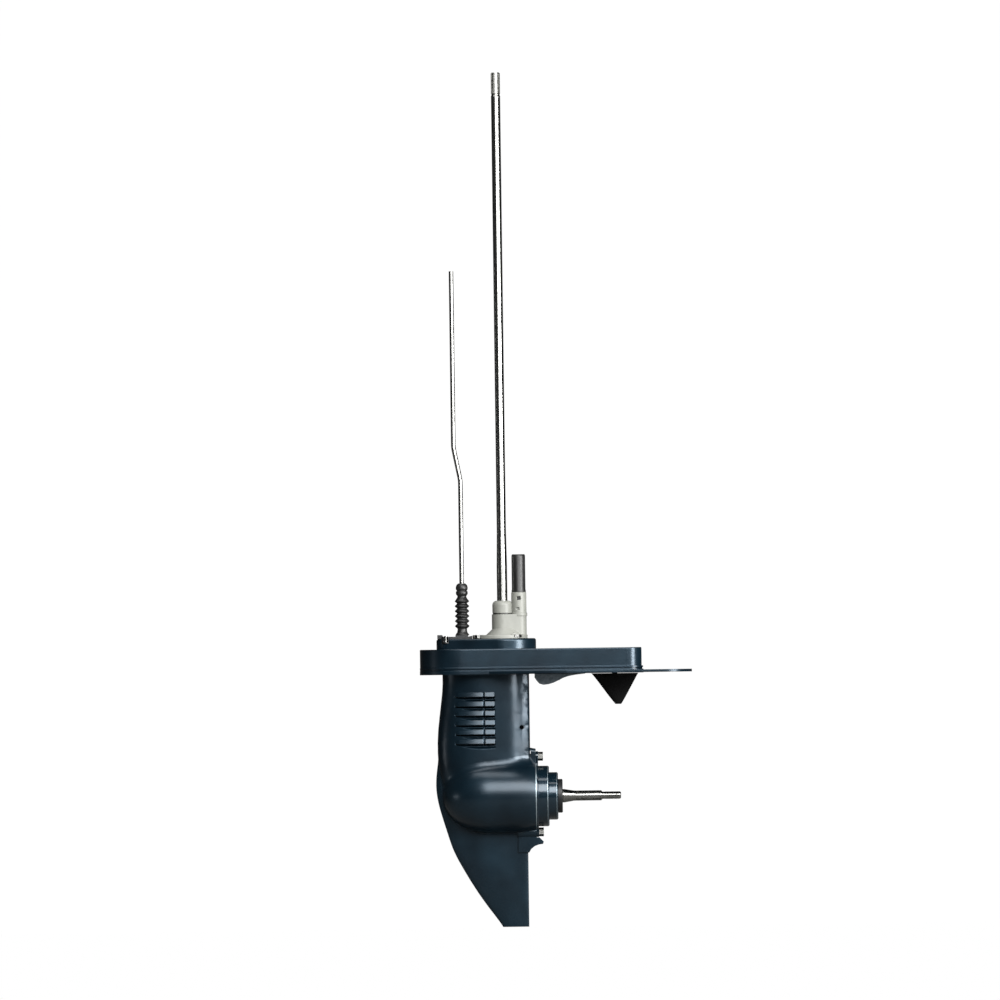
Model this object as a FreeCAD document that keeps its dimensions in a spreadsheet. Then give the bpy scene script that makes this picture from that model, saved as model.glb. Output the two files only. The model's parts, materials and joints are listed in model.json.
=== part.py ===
import FreeCAD, Part
import math
import os
import re

import Sketcher
from FreeCAD import Placement, Rotation, Vector

# Outboard lower unit, in millimetres. +Z is up, +X is aft. The origin lies on the drive shaft's
# axis, in the flat face of the rim that bolts to the leg above.

os.makedirs("parts", exist_ok=True)
doc = FreeCAD.newDocument("outboard_lower_unit")
sheet = doc.addObject("Spreadsheet::Sheet", "sizes")

SIZES = {
    # Drive line
    "propshaft_drop": 162.5,
    "drive_shaft_top": 634.0,
    "drive_shaft_radius": 5.05,
    "drive_spline_length": 23.0,
    "lower_shaft_radius": 5.7,
    "lower_shaft_top": 92.0,
    "shaft_taper": 40.0,
    "drive_splines": 10,
    "prop_splines": 14,
    "spline_width": 1.5,
    "spline_depth": 0.8,
    "key_half_width": 1.25,
    "key_length": 9.0,
    "shaft_chamfer": 1.0,
    "running_clearance": 0.05,
    # Bevel gears
    "gear_module": 2.0,
    "pinion_teeth": 13,
    "gear_teeth": 27,
    "gear_face": 9.0,
    "gear_backlash": 0.3,
    "profile_shift": 0.3,
    "gear_web": 4.0,
    "pinion_hub_radius": 9.5,
    "pinion_hub_length": 3.0,
    "pinion_bore": 5.0,
    "pinion_nut_flats": 12.0,
    "pinion_nut_height": 3.6,
    "pinion_thread_radius": 4.0,
    "gear_hub_radius": 12.5,
    "forward_hub_end": 36.0,
    "reverse_hub_end": 31.0,
    "bush_radius": 9.0,
    "dog_inner_radius": 8.6,
    "dog_outer_radius": 12.0,
    "dog_height": 2.5,
    "dog_gap": 2.6,
    "clutch_travel": 2.45,
    "clutch_half_width": 5.0,
    "clutch_pin_radius": 2.0,
    # Bearings
    "forward_bearing_start": 22.0,
    "forward_bearing_width": 14.0,
    "forward_cup_radius": 26.0,
    "reverse_bearing_start": 21.0,
    "reverse_bearing_width": 9.0,
    "reverse_race_radius": 22.5,
    "ball_radius": 2.6,
    "ball_count": 10,
    "forward_roller_radius": 2.4,
    "forward_roller_count": 15,
    "pinion_roller_radius": 1.5,
    "pinion_roller_count": 12,
    "pinion_bearing_wall": 1.5,
    "pinion_bearing_length": 18.0,
    "thrust_washer": 1.6,
    "needle_start": 33.0,
    "needle_length": 13.0,
    "needle_outer_radius": 11.5,
    "seal_start": 48.5,
    "seal_width": 6.0,
    "seal_outer_radius": 13.0,
    "shaft_seal_radius": 11.0,
    "shaft_bush_radius": 8.5,
    "pinion_space_radius": 17.0,
    # Propeller shaft
    "propshaft_radius": 7.4,
    "propshaft_front": 34.0,
    "propshaft_bore": 3.6,
    "cone_start": 65.5,
    "cone_end": 76.0,
    "prop_spline_radius": 5.6,
    "prop_spline_end": 106.0,
    "prop_thread_radius": 4.0,
    "propshaft_end": 127.8,
    # Bearing carrier
    "carrier_disc_start": 20.0,
    "carrier_disc_end": 25.0,
    "carrier_barrel_radius": 25.2,
    "carrier_flange_front": 34.5,
    "carrier_flange_face": 37.0,
    "carrier_ring_radius": 33.3,
    "carrier_ring_end": 48.8,
    "carrier_neck_radius": 26.1,
    "carrier_neck_end": 58.6,
    "carrier_collar_radius": 18.3,
    "carrier_collar_end": 63.4,
    "upper_bolt_lift": 43.8,
    "lower_bolt_drop": 39.4,
    "carrier_bolt_radius": 3.0,
    "carrier_bolt_head": 8.5,
    "carrier_bolt_head_height": 5.4,
    "carrier_ear_radius": 5.6,
    "window_inner_radius": 27.2,
    "window_outer_radius": 31.6,
    "window_count": 6,
    "window_width": 19.0,
    # Torpedo
    "torpedo_radius": 40.7,
    "torpedo_aft_radius": 36.3,
    "torpedo_nose": 68.6,
    "torpedo_full_start": 16.0,
    "torpedo_full_end": 6.0,
    "gear_space_radius": 30.5,
    "carrier_bore_radius": 34.0,
    "cam_pocket_radius": 11.0,
    "cam_pocket_end": 58.0,
    # Leg and skeg
    "leg_half_width": 25.0,
    "leg_tail_half_width": 12.0,
    "leg_front_top": 67.8,
    "leg_front_low": 74.6,
    "leg_aft": 28.4,
    "skeg_half_width": 5.0,
    "skeg_tip_half_width": 3.0,
    "skeg_bottom": 306.0,
    "skeg_aft": 25.0,
    "leg_tail_corner": 5.0,
    "leg_fillet": 13.0,
    "bolt_boss_half": 6.6,
    "bolt_boss_front": 14.0,
    "hook_half": 4.0,
    "hook_reach": 42.2,
    # Rim, flange and plate
    "rim_nose": 91.4,
    "rim_nose_end": 42.0,
    "rim_half_width": 40.0,
    "rim_aft_half_width": 47.0,
    "rim_aft": 152.4,
    "rim_depth": 28.0,
    "rim_corner": 16.0,
    "flange_top": 20.2,
    "flange_groove_top": 22.2,
    "flange_groove_foot": 23.7,
    "flange_reach": 1.9,
    "plate_aft": 207.6,
    "plate_half_width": 72.0,
    "plate_top": 24.6,
    "plate_bottom": 27.6,
    "plate_front": 30.0,
    "plate_corner": 34.0,
    # Raised deck
    "deck_height": 11.4,
    "pump_deck_centre": 3.5,
    "pump_deck_radius": 33.0,
    "boot_deck_centre": 57.0,
    "boot_deck_radius": 16.0,
    "deck_edge": 2.4,
    "rim_edge": 1.0,
    # Exhaust and water passages
    "exhaust_front": 52.0,
    "exhaust_aft": 140.0,
    "exhaust_half_width": 33.0,
    "exhaust_floor": 20.0,
    "duct_half_width": 7.0,
    "duct_front": 12.5,
    "duct_aft": 24.3,
    "chamber_corner": 10.0,
    "gallery_web": 3.0,
    "cheek_wall": 5.0,
    "leading_wall": 6.0,
    "gallery_front": 56.0,
    "gallery_aft": 10.5,
    "gallery_top": 44.0,
    "gallery_bottom": 109.0,
    "louvre_count": 6,
    "louvre_pitch": 10.35,
    "louvre_first": 54.3,
    "louvre_height": 4.6,
    "louvre_front": 53.8,
    "louvre_end": 9.5,
    "louvre_slope": 4.0,
    "louvre_lip": 3.8,
    "louvre_lip_depth": 3.4,
    "louvre_notch_x": 21.9,
    "louvre_notch_width": 2.2,
    "louvre_notch_depth": 2.4,
    "relief_hole_x": 19.6,
    "relief_hole_z": 86.6,
    "relief_hole_radius": 2.3,
    # Mounting pattern
    "mount_spacing_x": 118.0,
    "mount_spacing_y": 58.0,
    "mount_hole_radius": 4.25,
    "mount_boss_radius": 8.5,
    # Water pump
    "impeller_radius": 17.0,
    "impeller_hub_radius": 9.0,
    "impeller_height": 12.4,
    "vane_count": 6,
    "vane_thickness": 2.4,
    "cup_offset": 1.4,
    "cup_inner_radius": 18.8,
    "cup_wall": 1.0,
    "pump_floor": 4.0,
    "gasket_thickness": 0.5,
    "wear_plate": 1.0,
    "pump_flange_front": 33.2,
    "pump_flange_aft": 27.3,
    "pump_flange_radius": 30.0,
    "pump_flange_nose": 13.0,
    "pump_flange_top": 15.5,
    "pump_pocket_floor": 12.4,
    "pump_pocket_radius": 6.4,
    "pump_shoulder_top": 23.0,
    "pump_body_top": 38.0,
    "pump_body_radius": 11.7,
    "snout_radius": 11.0,
    "snout_top": 53.0,
    "snout_round": 4.5,
    "snout_bore": 6.2,
    "tube_x": 18.2,
    "socket_radius": 8.3,
    "socket_top": 62.2,
    "socket_floor": 52.0,
    "water_duct_radius": 4.0,
    "socket_slot": 4.0,
    "water_port_x": 15.5,
    "water_port_radius": 3.6,
    "tube_seal_radius": 7.5,
    "tube_seal_top": 103.8,
    "tube_bore": 4.8,
    "pump_bolt_aft": 15.5,
    "pump_bolt_aft_y": 20.0,
    "pump_bolt_front": 26.0,
    "pump_bolt_front_y": 13.6,
    "pump_bolt_radius": 2.5,
    "pump_bolt_flats": 8.0,
    "pump_bolt_head": 3.2,
    "pump_bolt_depth": 9.0,
    # Shift linkage
    "shift_rod_x": 44.4,
    "shift_rod_radius": 2.5,
    "shift_jog_start": 186.0,
    "shift_jog_end": 222.0,
    "shift_upper_x": 51.6,
    "shift_rod_top": 416.0,
    "shift_bend_radius": 40.0,
    "shift_rod_lift": 10.5,
    "shift_travel": 7.0,
    "cam_half_height": 10.0,
    "cam_front": 4.6,
    "cam_half_width": 4.5,
    "cam_shaft_radius": 8.5,
    "rod_seal_radius": 6.0,
    "plunger_radius": 3.5,
    "plunger_end": 3.4,
    "spring_wire_radius": 0.45,
    "spring_pitch": 1.9,
    "spring_length": 7.6,
    "plunger_tip": 41.0,
    "retainer_thickness": 4.0,
    "retainer_bolt_x": 62.6,
    "retainer_bolt_y": 12.4,
    "retainer_step": 6.6,
    "retainer_step_radius": 4.6,
    "retainer_screw_radius": 2.0,
    "retainer_head_radius": 2.3,
    "retainer_head": 7.0,
    "boot_top": 72.5,
    "boot_outer": 7.9,
    "boot_neck": 5.8,
    # Anode and trim tab
    "anode_half_width": 11.0,
    "tab_axis_x": 122.5,
    "tab_gap": 0.3,
    "tab_disc_radius": 24.0,
    "tab_half_thickness": 4.0,
    "anode_screw_x": 58.5,
    "anode_screw_radius": 2.6,
    # Oil plugs
    "plug_radius": 3.0,
    "plug_head_radius": 6.0,
    "plug_gasket": 0.9,
}

SEAM_REACH = 1e-3
LONG_SEAM = 30
WIDE_SEAM = 13
NOSE_SHARE = 0.15

for row, (alias, number) in enumerate(SIZES.items(), start=1):
    sheet.set(f"A{row}", alias.replace("_", " "))
    sheet.set(f"B{row}", str(number))
    sheet.setAlias(f"B{row}", alias)
doc.recompute()

NODES = []


def bound(expression):
    """An expression in which each size's name points at its cell in the sheet."""
    def cell(match):
        word = match.group(0)
        return f"sizes.{word}" if word in SIZES else word
    return re.sub(r"[a-z_]+", cell, str(expression))


def value(expression):
    """The number that an expression of sizes gives."""
    return float(sheet.evalExpression(bound(expression)))


def keep(solid, node):
    """Give a finished piece its name and put it on the list of pieces to write."""
    solid.Label = node
    NODES.append(solid)
    return solid


def outline(body, name, role, corners):
    """A closed sketch of straight lines on one of the body's own planes, each corner bound."""
    sketch = body.newObject("Sketcher::SketchObject", name)
    plane = next(item for item in body.Origin.OriginFeatures if item.Role == role)
    sketch.AttachmentSupport = [(plane, "")]
    sketch.MapMode = "FlatFace"
    places = [Vector(value(across), value(up), 0) for across, up in corners]
    count = len(places)
    for index, place in enumerate(places):
        sketch.addGeometry(Part.LineSegment(place, places[(index + 1) % count]))
    for index in range(count):
        sketch.addConstraint(Sketcher.Constraint("Coincident", index, 2, (index + 1) % count, 1))
    for index, (across, up) in enumerate(corners):
        for kind, number, text in (("DistanceX", places[index].x, across),
                                   ("DistanceY", places[index].y, up)):
            datum = sketch.addConstraint(Sketcher.Constraint(kind, index, 1, number))
            sketch.setExpression(f"Constraints[{datum}]", bound(text))
    return sketch


def place(solid, x="0", y="0", z="0"):
    """Bind where a piece stands."""
    for letter, text in (("x", x), ("y", y), ("z", z)):
        if str(text) != "0":
            solid.setExpression(f"Placement.Base.{letter}", bound(text))
    return solid


def turned(name, corners, upright=True, x="0", y="0", z="0"):
    """A turned body from (distance along the axis, radius) corners, upright or lengthwise."""
    body = doc.addObject("PartDesign::Body", name)
    if upright:
        corners = [(radius, along) for along, radius in corners]
    sketch = outline(body, f"{name}_profile", "XZ_Plane", corners)
    turn = body.newObject("PartDesign::Revolution", f"{name}_turning")
    turn.Profile = sketch
    turn.ReferenceAxis = (sketch, ["V_Axis" if upright else "H_Axis"])
    turn.Angle = 360
    return place(body, x, y, z)


def ring(name, inner, outer, start, end, upright=True, x="0", y="0", z="0"):
    """A plain ring between two radii and two places along its axis."""
    corners = [(start, inner), (start, outer), (end, outer), (end, inner)]
    return turned(name, corners, upright, x, y, z)


def on_propshaft(name, corners):
    """A turned body on the propeller shaft's axis."""
    return turned(name, corners, upright=False, z="-propshaft_drop")


def prism(name, corners, half_width, x="0", y="0", z="0"):
    """A block with a side outline of (x, z) corners, as wide each way from the middle plane."""
    body = doc.addObject("PartDesign::Body", name)
    sketch = outline(body, f"{name}_side", "XZ_Plane", corners)
    pad = body.newObject("PartDesign::Pad", f"{name}_width")
    pad.Profile = sketch
    pad.Midplane = True
    pad.setExpression("Length", bound(f"2 * ({half_width})"))
    return place(body, x, y, z)


def cylinder(name, radius, length, x="0", y="0", z="0", direction=Vector(0, 0, 1)):
    solid = doc.addObject("Part::Cylinder", name)
    solid.setExpression("Radius", bound(radius))
    solid.setExpression("Height", bound(length))
    solid.Placement = Placement(Vector(), Rotation(Vector(0, 0, 1), direction))
    return place(solid, x, y, z)


def box(name, low, high):
    """A box between its lowest and highest corners, given as expressions."""
    solid = doc.addObject("Part::Box", name)
    for side, start, end in zip(("Length", "Width", "Height"), low, high):
        solid.setExpression(side, bound(f"({end}) - ({start})"))
    return place(solid, *low)


def hexagon(name, flats, height, x="0", y="0", z="0", direction=Vector(0, 0, 1)):
    solid = doc.addObject("Part::Prism", name)
    solid.Polygon = 6
    solid.setExpression("Circumradius", bound(f"({flats}) / sqrt(3)"))
    solid.setExpression("Height", bound(height))
    solid.Placement = Placement(Vector(), Rotation(Vector(0, 0, 1), direction))
    return place(solid, x, y, z)


def joined(name, *solids):
    union = doc.addObject("Part::MultiFuse", name)
    union.Shapes = list(solids)
    return union


def grouped(name, solids):
    group = doc.addObject("Part::Compound", name)
    group.Links = list(solids)
    return group


def cut(name, base, *tools):
    """The base with each tool taken away in turn."""
    for number, tool in enumerate(tools):
        last = number == len(tools) - 1
        step = doc.addObject("Part::Cut", name if last else f"{name}_cut_{number}")
        step.Base = base
        step.Tool = tool
        base = step
    return base


def feature(node, shape):
    """A piece whose form is worked out here from the sheet's sizes."""
    solid = doc.addObject("Part::Feature", node)
    solid.Shape = shape
    return keep(solid, node)


ALONG = Vector(1, 0, 0)
ACROSS = Vector(0, 1, 0)
UP = Vector(0, 0, 1)


# Bevel gears
def tooth_half_angle(height, teeth, pitch_angle, shift):
    """Half the angle that a tooth fills at a height above the pitch cone.

    The involute is taken on the back cone, unrolled into a spur gear with teeth over the
    cosine of the pitch angle.
    """
    module = value("gear_module")
    pressure = math.radians(20)
    virtual_teeth = teeth / math.cos(pitch_angle)
    pitch = module * virtual_teeth / 2
    base = pitch * math.cos(pressure)
    radius = max(pitch + height, base)
    here = math.acos(base / radius)
    involute = (math.tan(pressure) - pressure) - (math.tan(here) - here)
    half = math.pi / (2 * virtual_teeth) + 2 * shift * math.tan(pressure) / virtual_teeth
    slack = value("gear_backlash") / (4 * pitch)
    return (half + involute - slack) / math.cos(pitch_angle)


def bevel_teeth(teeth, mate, shift, first_angle):
    """A toothed ring about +Z with its cone's apex at the origin, and its pitch angle."""
    module = value("gear_module")
    pitch_angle = math.atan2(teeth, mate)
    cone = module * math.hypot(teeth, mate) / 2
    addendum = (1 + shift) * module
    dedendum = (1.25 - shift) * module
    toe = cone - value("gear_face")
    levels = [-dedendum, -0.35 * dedendum, 0.3 * addendum, addendum]
    flank = [(pitch_angle + level / cone, tooth_half_angle(level, teeth, pitch_angle, shift))
             for level in levels]

    def section(height):
        points = []
        for tooth in range(teeth):
            middle = first_angle + 2 * math.pi * tooth / teeth
            sides = [(cone_angle, middle - half) for cone_angle, half in flank]
            sides += [(cone_angle, middle + half) for cone_angle, half in reversed(flank)]
            for cone_angle, angle in sides:
                radius = height * math.tan(cone_angle)
                points.append(Vector(radius * math.cos(angle), radius * math.sin(angle), height))
        return Part.makePolygon(points + points[:1])

    def corner(distance, height):
        """A point of the side view, at a distance down the pitch cone and a height above it."""
        radius = distance * math.sin(pitch_angle) + height * math.cos(pitch_angle)
        along = distance * math.cos(pitch_angle) - height * math.sin(pitch_angle)
        return Vector(radius, 0, along)

    web = value("gear_web")
    near = corner(toe, addendum + 1).z * 0.9
    far = corner(cone, -dedendum - web).z * 1.05
    star = Part.makeLoft([section(min(near, far)), section(max(near, far))], True, True)
    side = [corner(toe, addendum + 1), corner(cone, addendum + 1),
            corner(cone, -dedendum - web), corner(toe, -dedendum - web)]
    band = Part.Face(Part.makePolygon(side + side[:1])).revolve(Vector(), UP, 360)
    return star.common(band), corner(toe, -dedendum), corner(cone, -dedendum - web)


def revolve_profile(points):
    """A solid turned about +Z from (radius, height) points."""
    corners = [Vector(radius, 0, height) for radius, height in points]
    return Part.Face(Part.makePolygon(corners + corners[:1])).revolve(Vector(), UP, 360)


def dog_ring(start, height, inner, outer, turn=0.0):
    """Three dogs about +Z, each as wide as a sixth of the ring less its gap."""
    fill = math.radians(44)
    dogs = []
    for index in range(3):
        middle = turn + 2 * math.pi * index / 3
        ring_sector = Part.makeCylinder(outer, height, Vector(0, 0, start), UP,
                                        math.degrees(fill))
        hole = Part.makeCylinder(inner, height, Vector(0, 0, start), UP)
        sector = ring_sector.cut(hole)
        sector.rotate(Vector(), UP, math.degrees(middle - fill / 2))
        dogs.append(sector)
    return dogs


def pinion_shape():
    teeth, toe, heel = bevel_teeth(int(value("pinion_teeth")), int(value("gear_teeth")),
                                   value("profile_shift"), math.pi)
    bore = value("pinion_bore")
    hub = value("pinion_hub_radius")
    top = value("gear_module * gear_teeth / 2 + pinion_hub_length")
    core = revolve_profile([(bore, toe.z), (toe.x, toe.z), (hub, top - 2), (hub, top),
                            (bore, top)])
    bore_cut = Part.makeCylinder(bore, 100, Vector(0, 0, -20), UP)
    return teeth.fuse(core).cut(bore_cut).removeSplitter(), toe.z


def driven_gear_shape(hub_end, first_angle, shoulder):
    """A driven gear about +Z, apex at the origin, with its dogs facing the apex."""
    teeth, toe, heel = bevel_teeth(int(value("gear_teeth")), int(value("pinion_teeth")),
                                   -value("profile_shift"), first_angle)
    bore = value("bush_radius")
    hub = value("gear_hub_radius")
    face = value("clutch_half_width + 2 * dog_height + dog_gap")
    inner = value("dog_inner_radius")
    back = heel.z
    core = revolve_profile([(inner, face), (value("dog_outer_radius") + 0.8, face),
                            (toe.x, toe.z), (heel.x - 1, back - 1), (hub + 3, back + 1),
                            (hub + 3, shoulder - 0.8),
                            (hub, shoulder - 0.8), (hub, hub_end),
                            (bore, hub_end), (bore, face + 3), (inner, face + 3)])
    shape = teeth.fuse(core)
    for dog in dog_ring(face - value("dog_height"), value("dog_height") + 1, inner,
                        value("dog_outer_radius")):
        shape = shape.fuse(dog)
    clear = Part.makeCylinder(inner, face + 3, Vector(), UP)
    return shape.cut(clear).removeSplitter()


# Gearcase casting
def foil(front, aft, half_width, tail, height):
    """A level section of the leg: an elliptic nose, full at its middle, and a blunt tail."""
    length = front + aft
    steps = [0.86, 0.68, 0.5, 0.3, 0.14, 0.04]
    corner = min(value("leg_tail_corner"), tail * 0.42)
    side = [(aft, tail - corner), (aft - corner * 0.3, tail - corner * 0.2),
            (aft - corner, tail + corner * 0.12)]
    for step in steps:
        if step > 0.5:
            width = half_width - (half_width - tail) * ((step - 0.5) / 0.5) ** 2
        else:
            width = half_width * math.sqrt(1 - ((0.5 - step) / 0.5) ** 2)
        side.append((step * length - front, width))
    points = [Vector(x, width, height) for x, width in side]
    points.append(Vector(-front, 0, height))
    points += [Vector(x, -width, height) for x, width in reversed(side)]
    curve = Part.BSplineCurve()
    curve.interpolate(points)
    return Part.Wire([curve.toShape(), Part.makeLine(points[-1], points[0])])


def leg_loft(inset, front_inset):
    """The thick part of the leg, drawn in by an inset to give its hollow."""
    top = value("leg_front_top")
    low = value("leg_front_low")
    drop = value("propshaft_drop")
    sections = ((-18, top, 1.06), (100.5 - drop, top + 1.4, 1.0), (57.5 - drop, low - 1.4, 0.96),
                (27.5 - drop, low - 3.5, 0.95), (-5.5 - drop, low - 12, 0.95))
    aft = value("leg_aft")
    wires = [foil(front - front_inset, aft, value("leg_half_width") * swell - inset,
                  value("leg_tail_half_width") - inset * 0.5, height)
             for height, front, swell in sections]
    return Part.makeLoft(wires, True, False)


def skeg_loft():
    """The blade that runs from the leg's leading edge, past the torpedo, to the skeg's foot."""
    wide = value("skeg_half_width")
    tip = value("skeg_tip_half_width")
    aft = value("skeg_aft")
    bottom = value("skeg_bottom")
    drop = value("propshaft_drop")
    first = drop - 52.5
    fall = bottom - drop
    edges = ((first, 73.2), (drop - 22.5, 75.0), (drop + 0.087 * fall, 71.6),
             (drop + 0.254 * fall, 64.5), (drop + 0.408 * fall, 57.1), (drop + 0.561 * fall, 45.8),
             (drop + 0.721 * fall, 31.9), (drop + 0.875 * fall, 16.4), (bottom, 3.6))
    wires = []
    for depth, front in edges:
        share = (depth - first) / (bottom - first)
        half = wide + (tip - wide) * share
        wires.append(foil(front, aft, half, half * 0.55, -depth))
    return Part.makeLoft(wires, True, False)


def rim_wire(grow, height):
    """The rim's plan: an elliptic nose, sides that widen aft, and rounded aft corners.

    A beading grows out of the sides and the stern, and nearly fades away at the nose.
    """
    nose = value("rim_nose")
    start = value("rim_nose_end")
    half = value("rim_half_width") + grow
    wide = value("rim_aft_half_width") + grow
    aft = value("rim_aft") + grow
    corner = value("rim_corner")
    bow = Part.Ellipse(Vector(-start, 0, height), nose - start + NOSE_SHARE * grow, half)
    bow_edge = Part.ArcOfEllipse(bow, math.pi / 2, 3 * math.pi / 2).toShape()
    edges = [bow_edge]
    slope = math.sin(math.radians(45)) * corner
    for side in (1, -1):
        shoulder = Vector(aft - corner, side * wide, height)
        back = Vector(aft, side * (wide - corner), height)
        middle = Vector(aft - corner + slope, side * (wide - corner + slope), height)
        edges.append(Part.makeLine(Vector(-start, side * half, height), shoulder))
        edges.append(Part.Arc(shoulder, middle, back).toShape())
    edges.append(Part.makeLine(Vector(aft, wide - corner, height),
                               Vector(aft, corner - wide, height)))
    return Part.Wire(Part.__sortEdges__(edges))


def raised(wire, depth):
    return Part.Face(wire).extrude(Vector(0, 0, depth))


def plate_solid():
    """The anti-ventilation plate, widening from the flange to a broad rounded tail."""
    front = value("plate_front")
    half = value("plate_half_width")
    aft = value("plate_aft")
    corner = value("plate_corner")
    level = -value("plate_bottom")
    shoulder = value("exhaust_front") + 18
    edges = []
    for side in (1, -1):
        swell = Part.BSplineCurve()
        swell.interpolate([Vector(-front, side * 34, level), Vector(8, side * half * 0.76, level),
                           Vector(shoulder, side * half, level)])
        edges.append(swell.toShape())
        turn = Vector(aft - corner, side * half, level)
        back = Vector(aft, side * (half - corner), level)
        bend = corner * math.sin(math.radians(45))
        middle = Vector(aft - corner + bend, side * (half - corner + bend), level)
        edges.append(Part.makeLine(Vector(shoulder, side * half, level), turn))
        edges.append(Part.Arc(turn, middle, back).toShape())
    edges.append(Part.makeLine(Vector(aft, half - corner, level), Vector(aft, corner - half, level)))
    edges.append(Part.makeLine(Vector(-front, 34, level), Vector(-front, -34, level)))
    plan = Part.Wire(Part.__sortEdges__(edges))
    return raised(plan, value("plate_bottom - plate_top"))


def hull_wire(x_one, radius_one, x_two, radius_two, height):
    """Two circles on the middle line, joined by their outer tangents."""
    span = x_one - x_two
    lean = math.acos((radius_one - radius_two) / span)
    points = []
    for centre, radius in ((x_one, radius_one), (x_two, radius_two)):
        for side in (1, -1):
            angle = side * (math.pi - lean)
            points.append(Vector(centre + radius * math.cos(angle), radius * math.sin(angle),
                                 height))
    big = Part.Arc(points[1], Vector(x_one + radius_one, 0, height), points[0]).toShape()
    small = Part.Arc(points[2], Vector(x_two - radius_two, 0, height), points[3]).toShape()
    return Part.Wire(Part.__sortEdges__([big, small, Part.makeLine(points[0], points[2]),
                                         Part.makeLine(points[1], points[3])]))


def torpedo_solid(axis):
    """The gear housing: an elliptic nose, a full middle and a slightly drawn-in tail."""
    radius = value("torpedo_radius")
    nose = value("torpedo_nose")
    full = value("torpedo_full_start")
    bow = Part.Ellipse(Vector(-full, 0, 0), nose - full, radius)
    bow_edge = Part.ArcOfEllipse(bow, math.pi / 2, math.pi).toShape()
    aft = value("carrier_flange_front")
    tail = Part.BezierCurve()
    tail.setPoles([Vector(value("torpedo_full_end"), radius, 0), Vector(20, radius, 0),
                   Vector(aft, value("torpedo_aft_radius"), 0)])
    edges = [bow_edge,
             Part.makeLine(Vector(-full, radius, 0), Vector(value("torpedo_full_end"), radius, 0)),
             tail.toShape(),
             Part.makeLine(Vector(aft, value("torpedo_aft_radius"), 0), Vector(aft, 0, 0)),
             Part.makeLine(Vector(aft, 0, 0), Vector(-nose, 0, 0))]
    side = Part.Face(Part.Wire(Part.__sortEdges__(edges)))
    solid = side.revolve(Vector(), ALONG, 360)
    solid.translate(axis)
    return solid


def rod(radius, start, end):
    """A round bar or hole between two points."""
    way = end - start
    return Part.makeCylinder(radius, way.Length, start, way)


def seam(shape, first, second):
    """The edges of a joined shape that lie on the skins of both of its parts."""
    edges = []
    for edge in shape.Edges:
        middle = edge.valueAt((edge.FirstParameter + edge.LastParameter) / 2)
        point = Part.Vertex(middle)
        on_both = all(part.distToShape(point)[0] < SEAM_REACH
                      and not part.isInside(middle, SEAM_REACH, False)
                      for part in (first, second))
        if on_both:
            edges.append(edge)
    return edges


def side_slab(corners, half):
    """A slab with a side outline of (x, z) corners, as wide each way from the middle plane."""
    points = [Vector(x, -half, z) for x, z in corners]
    return Part.Face(Part.makePolygon(points + points[:1])).extrude(Vector(0, 2 * half, 0))


def bolt_bosses():
    """The bosses at the leg's tail that take the carrier's bolts, with the hook under the lower."""
    drop = value("propshaft_drop")
    front = value("bolt_boss_front")
    face = value("carrier_flange_front")
    upper = value("upper_bolt_lift") - drop
    lower = -value("lower_bolt_drop") - drop
    half = value("bolt_boss_half")
    aft = value("leg_aft")
    upper_boss = side_slab([(front, upper + 9.6), (aft, upper + 9.6), (face, upper + 8.4),
                            (face, upper - 12), (front, upper - 12)], half)
    ridge = [edge for edge in upper_boss.Edges
             if edge.BoundBox.ZMin > upper + 8 and edge.BoundBox.XLength > 1]
    upper_boss = upper_boss.makeFillet(4.0, ridge)
    lower_boss = rod(half, Vector(front, 0, lower), Vector(face, 0, lower))
    tip = value("hook_reach")
    hook = side_slab([(front, lower + 4), (face - 0.1, lower + 4), (face - 0.1, lower - 5.9),
                      (37.4, lower - 5.9), (tip, lower - 10.6), (tip - 0.8, lower - 13.2),
                      (36.6, lower - 13.9), (32.2, lower - 15.6), (28.4, lower - 18.6),
                      (26, lower - 22.6), (front, lower - 22.6)], value("hook_half"))
    return upper_boss, lower_boss.fuse(hook)


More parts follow.
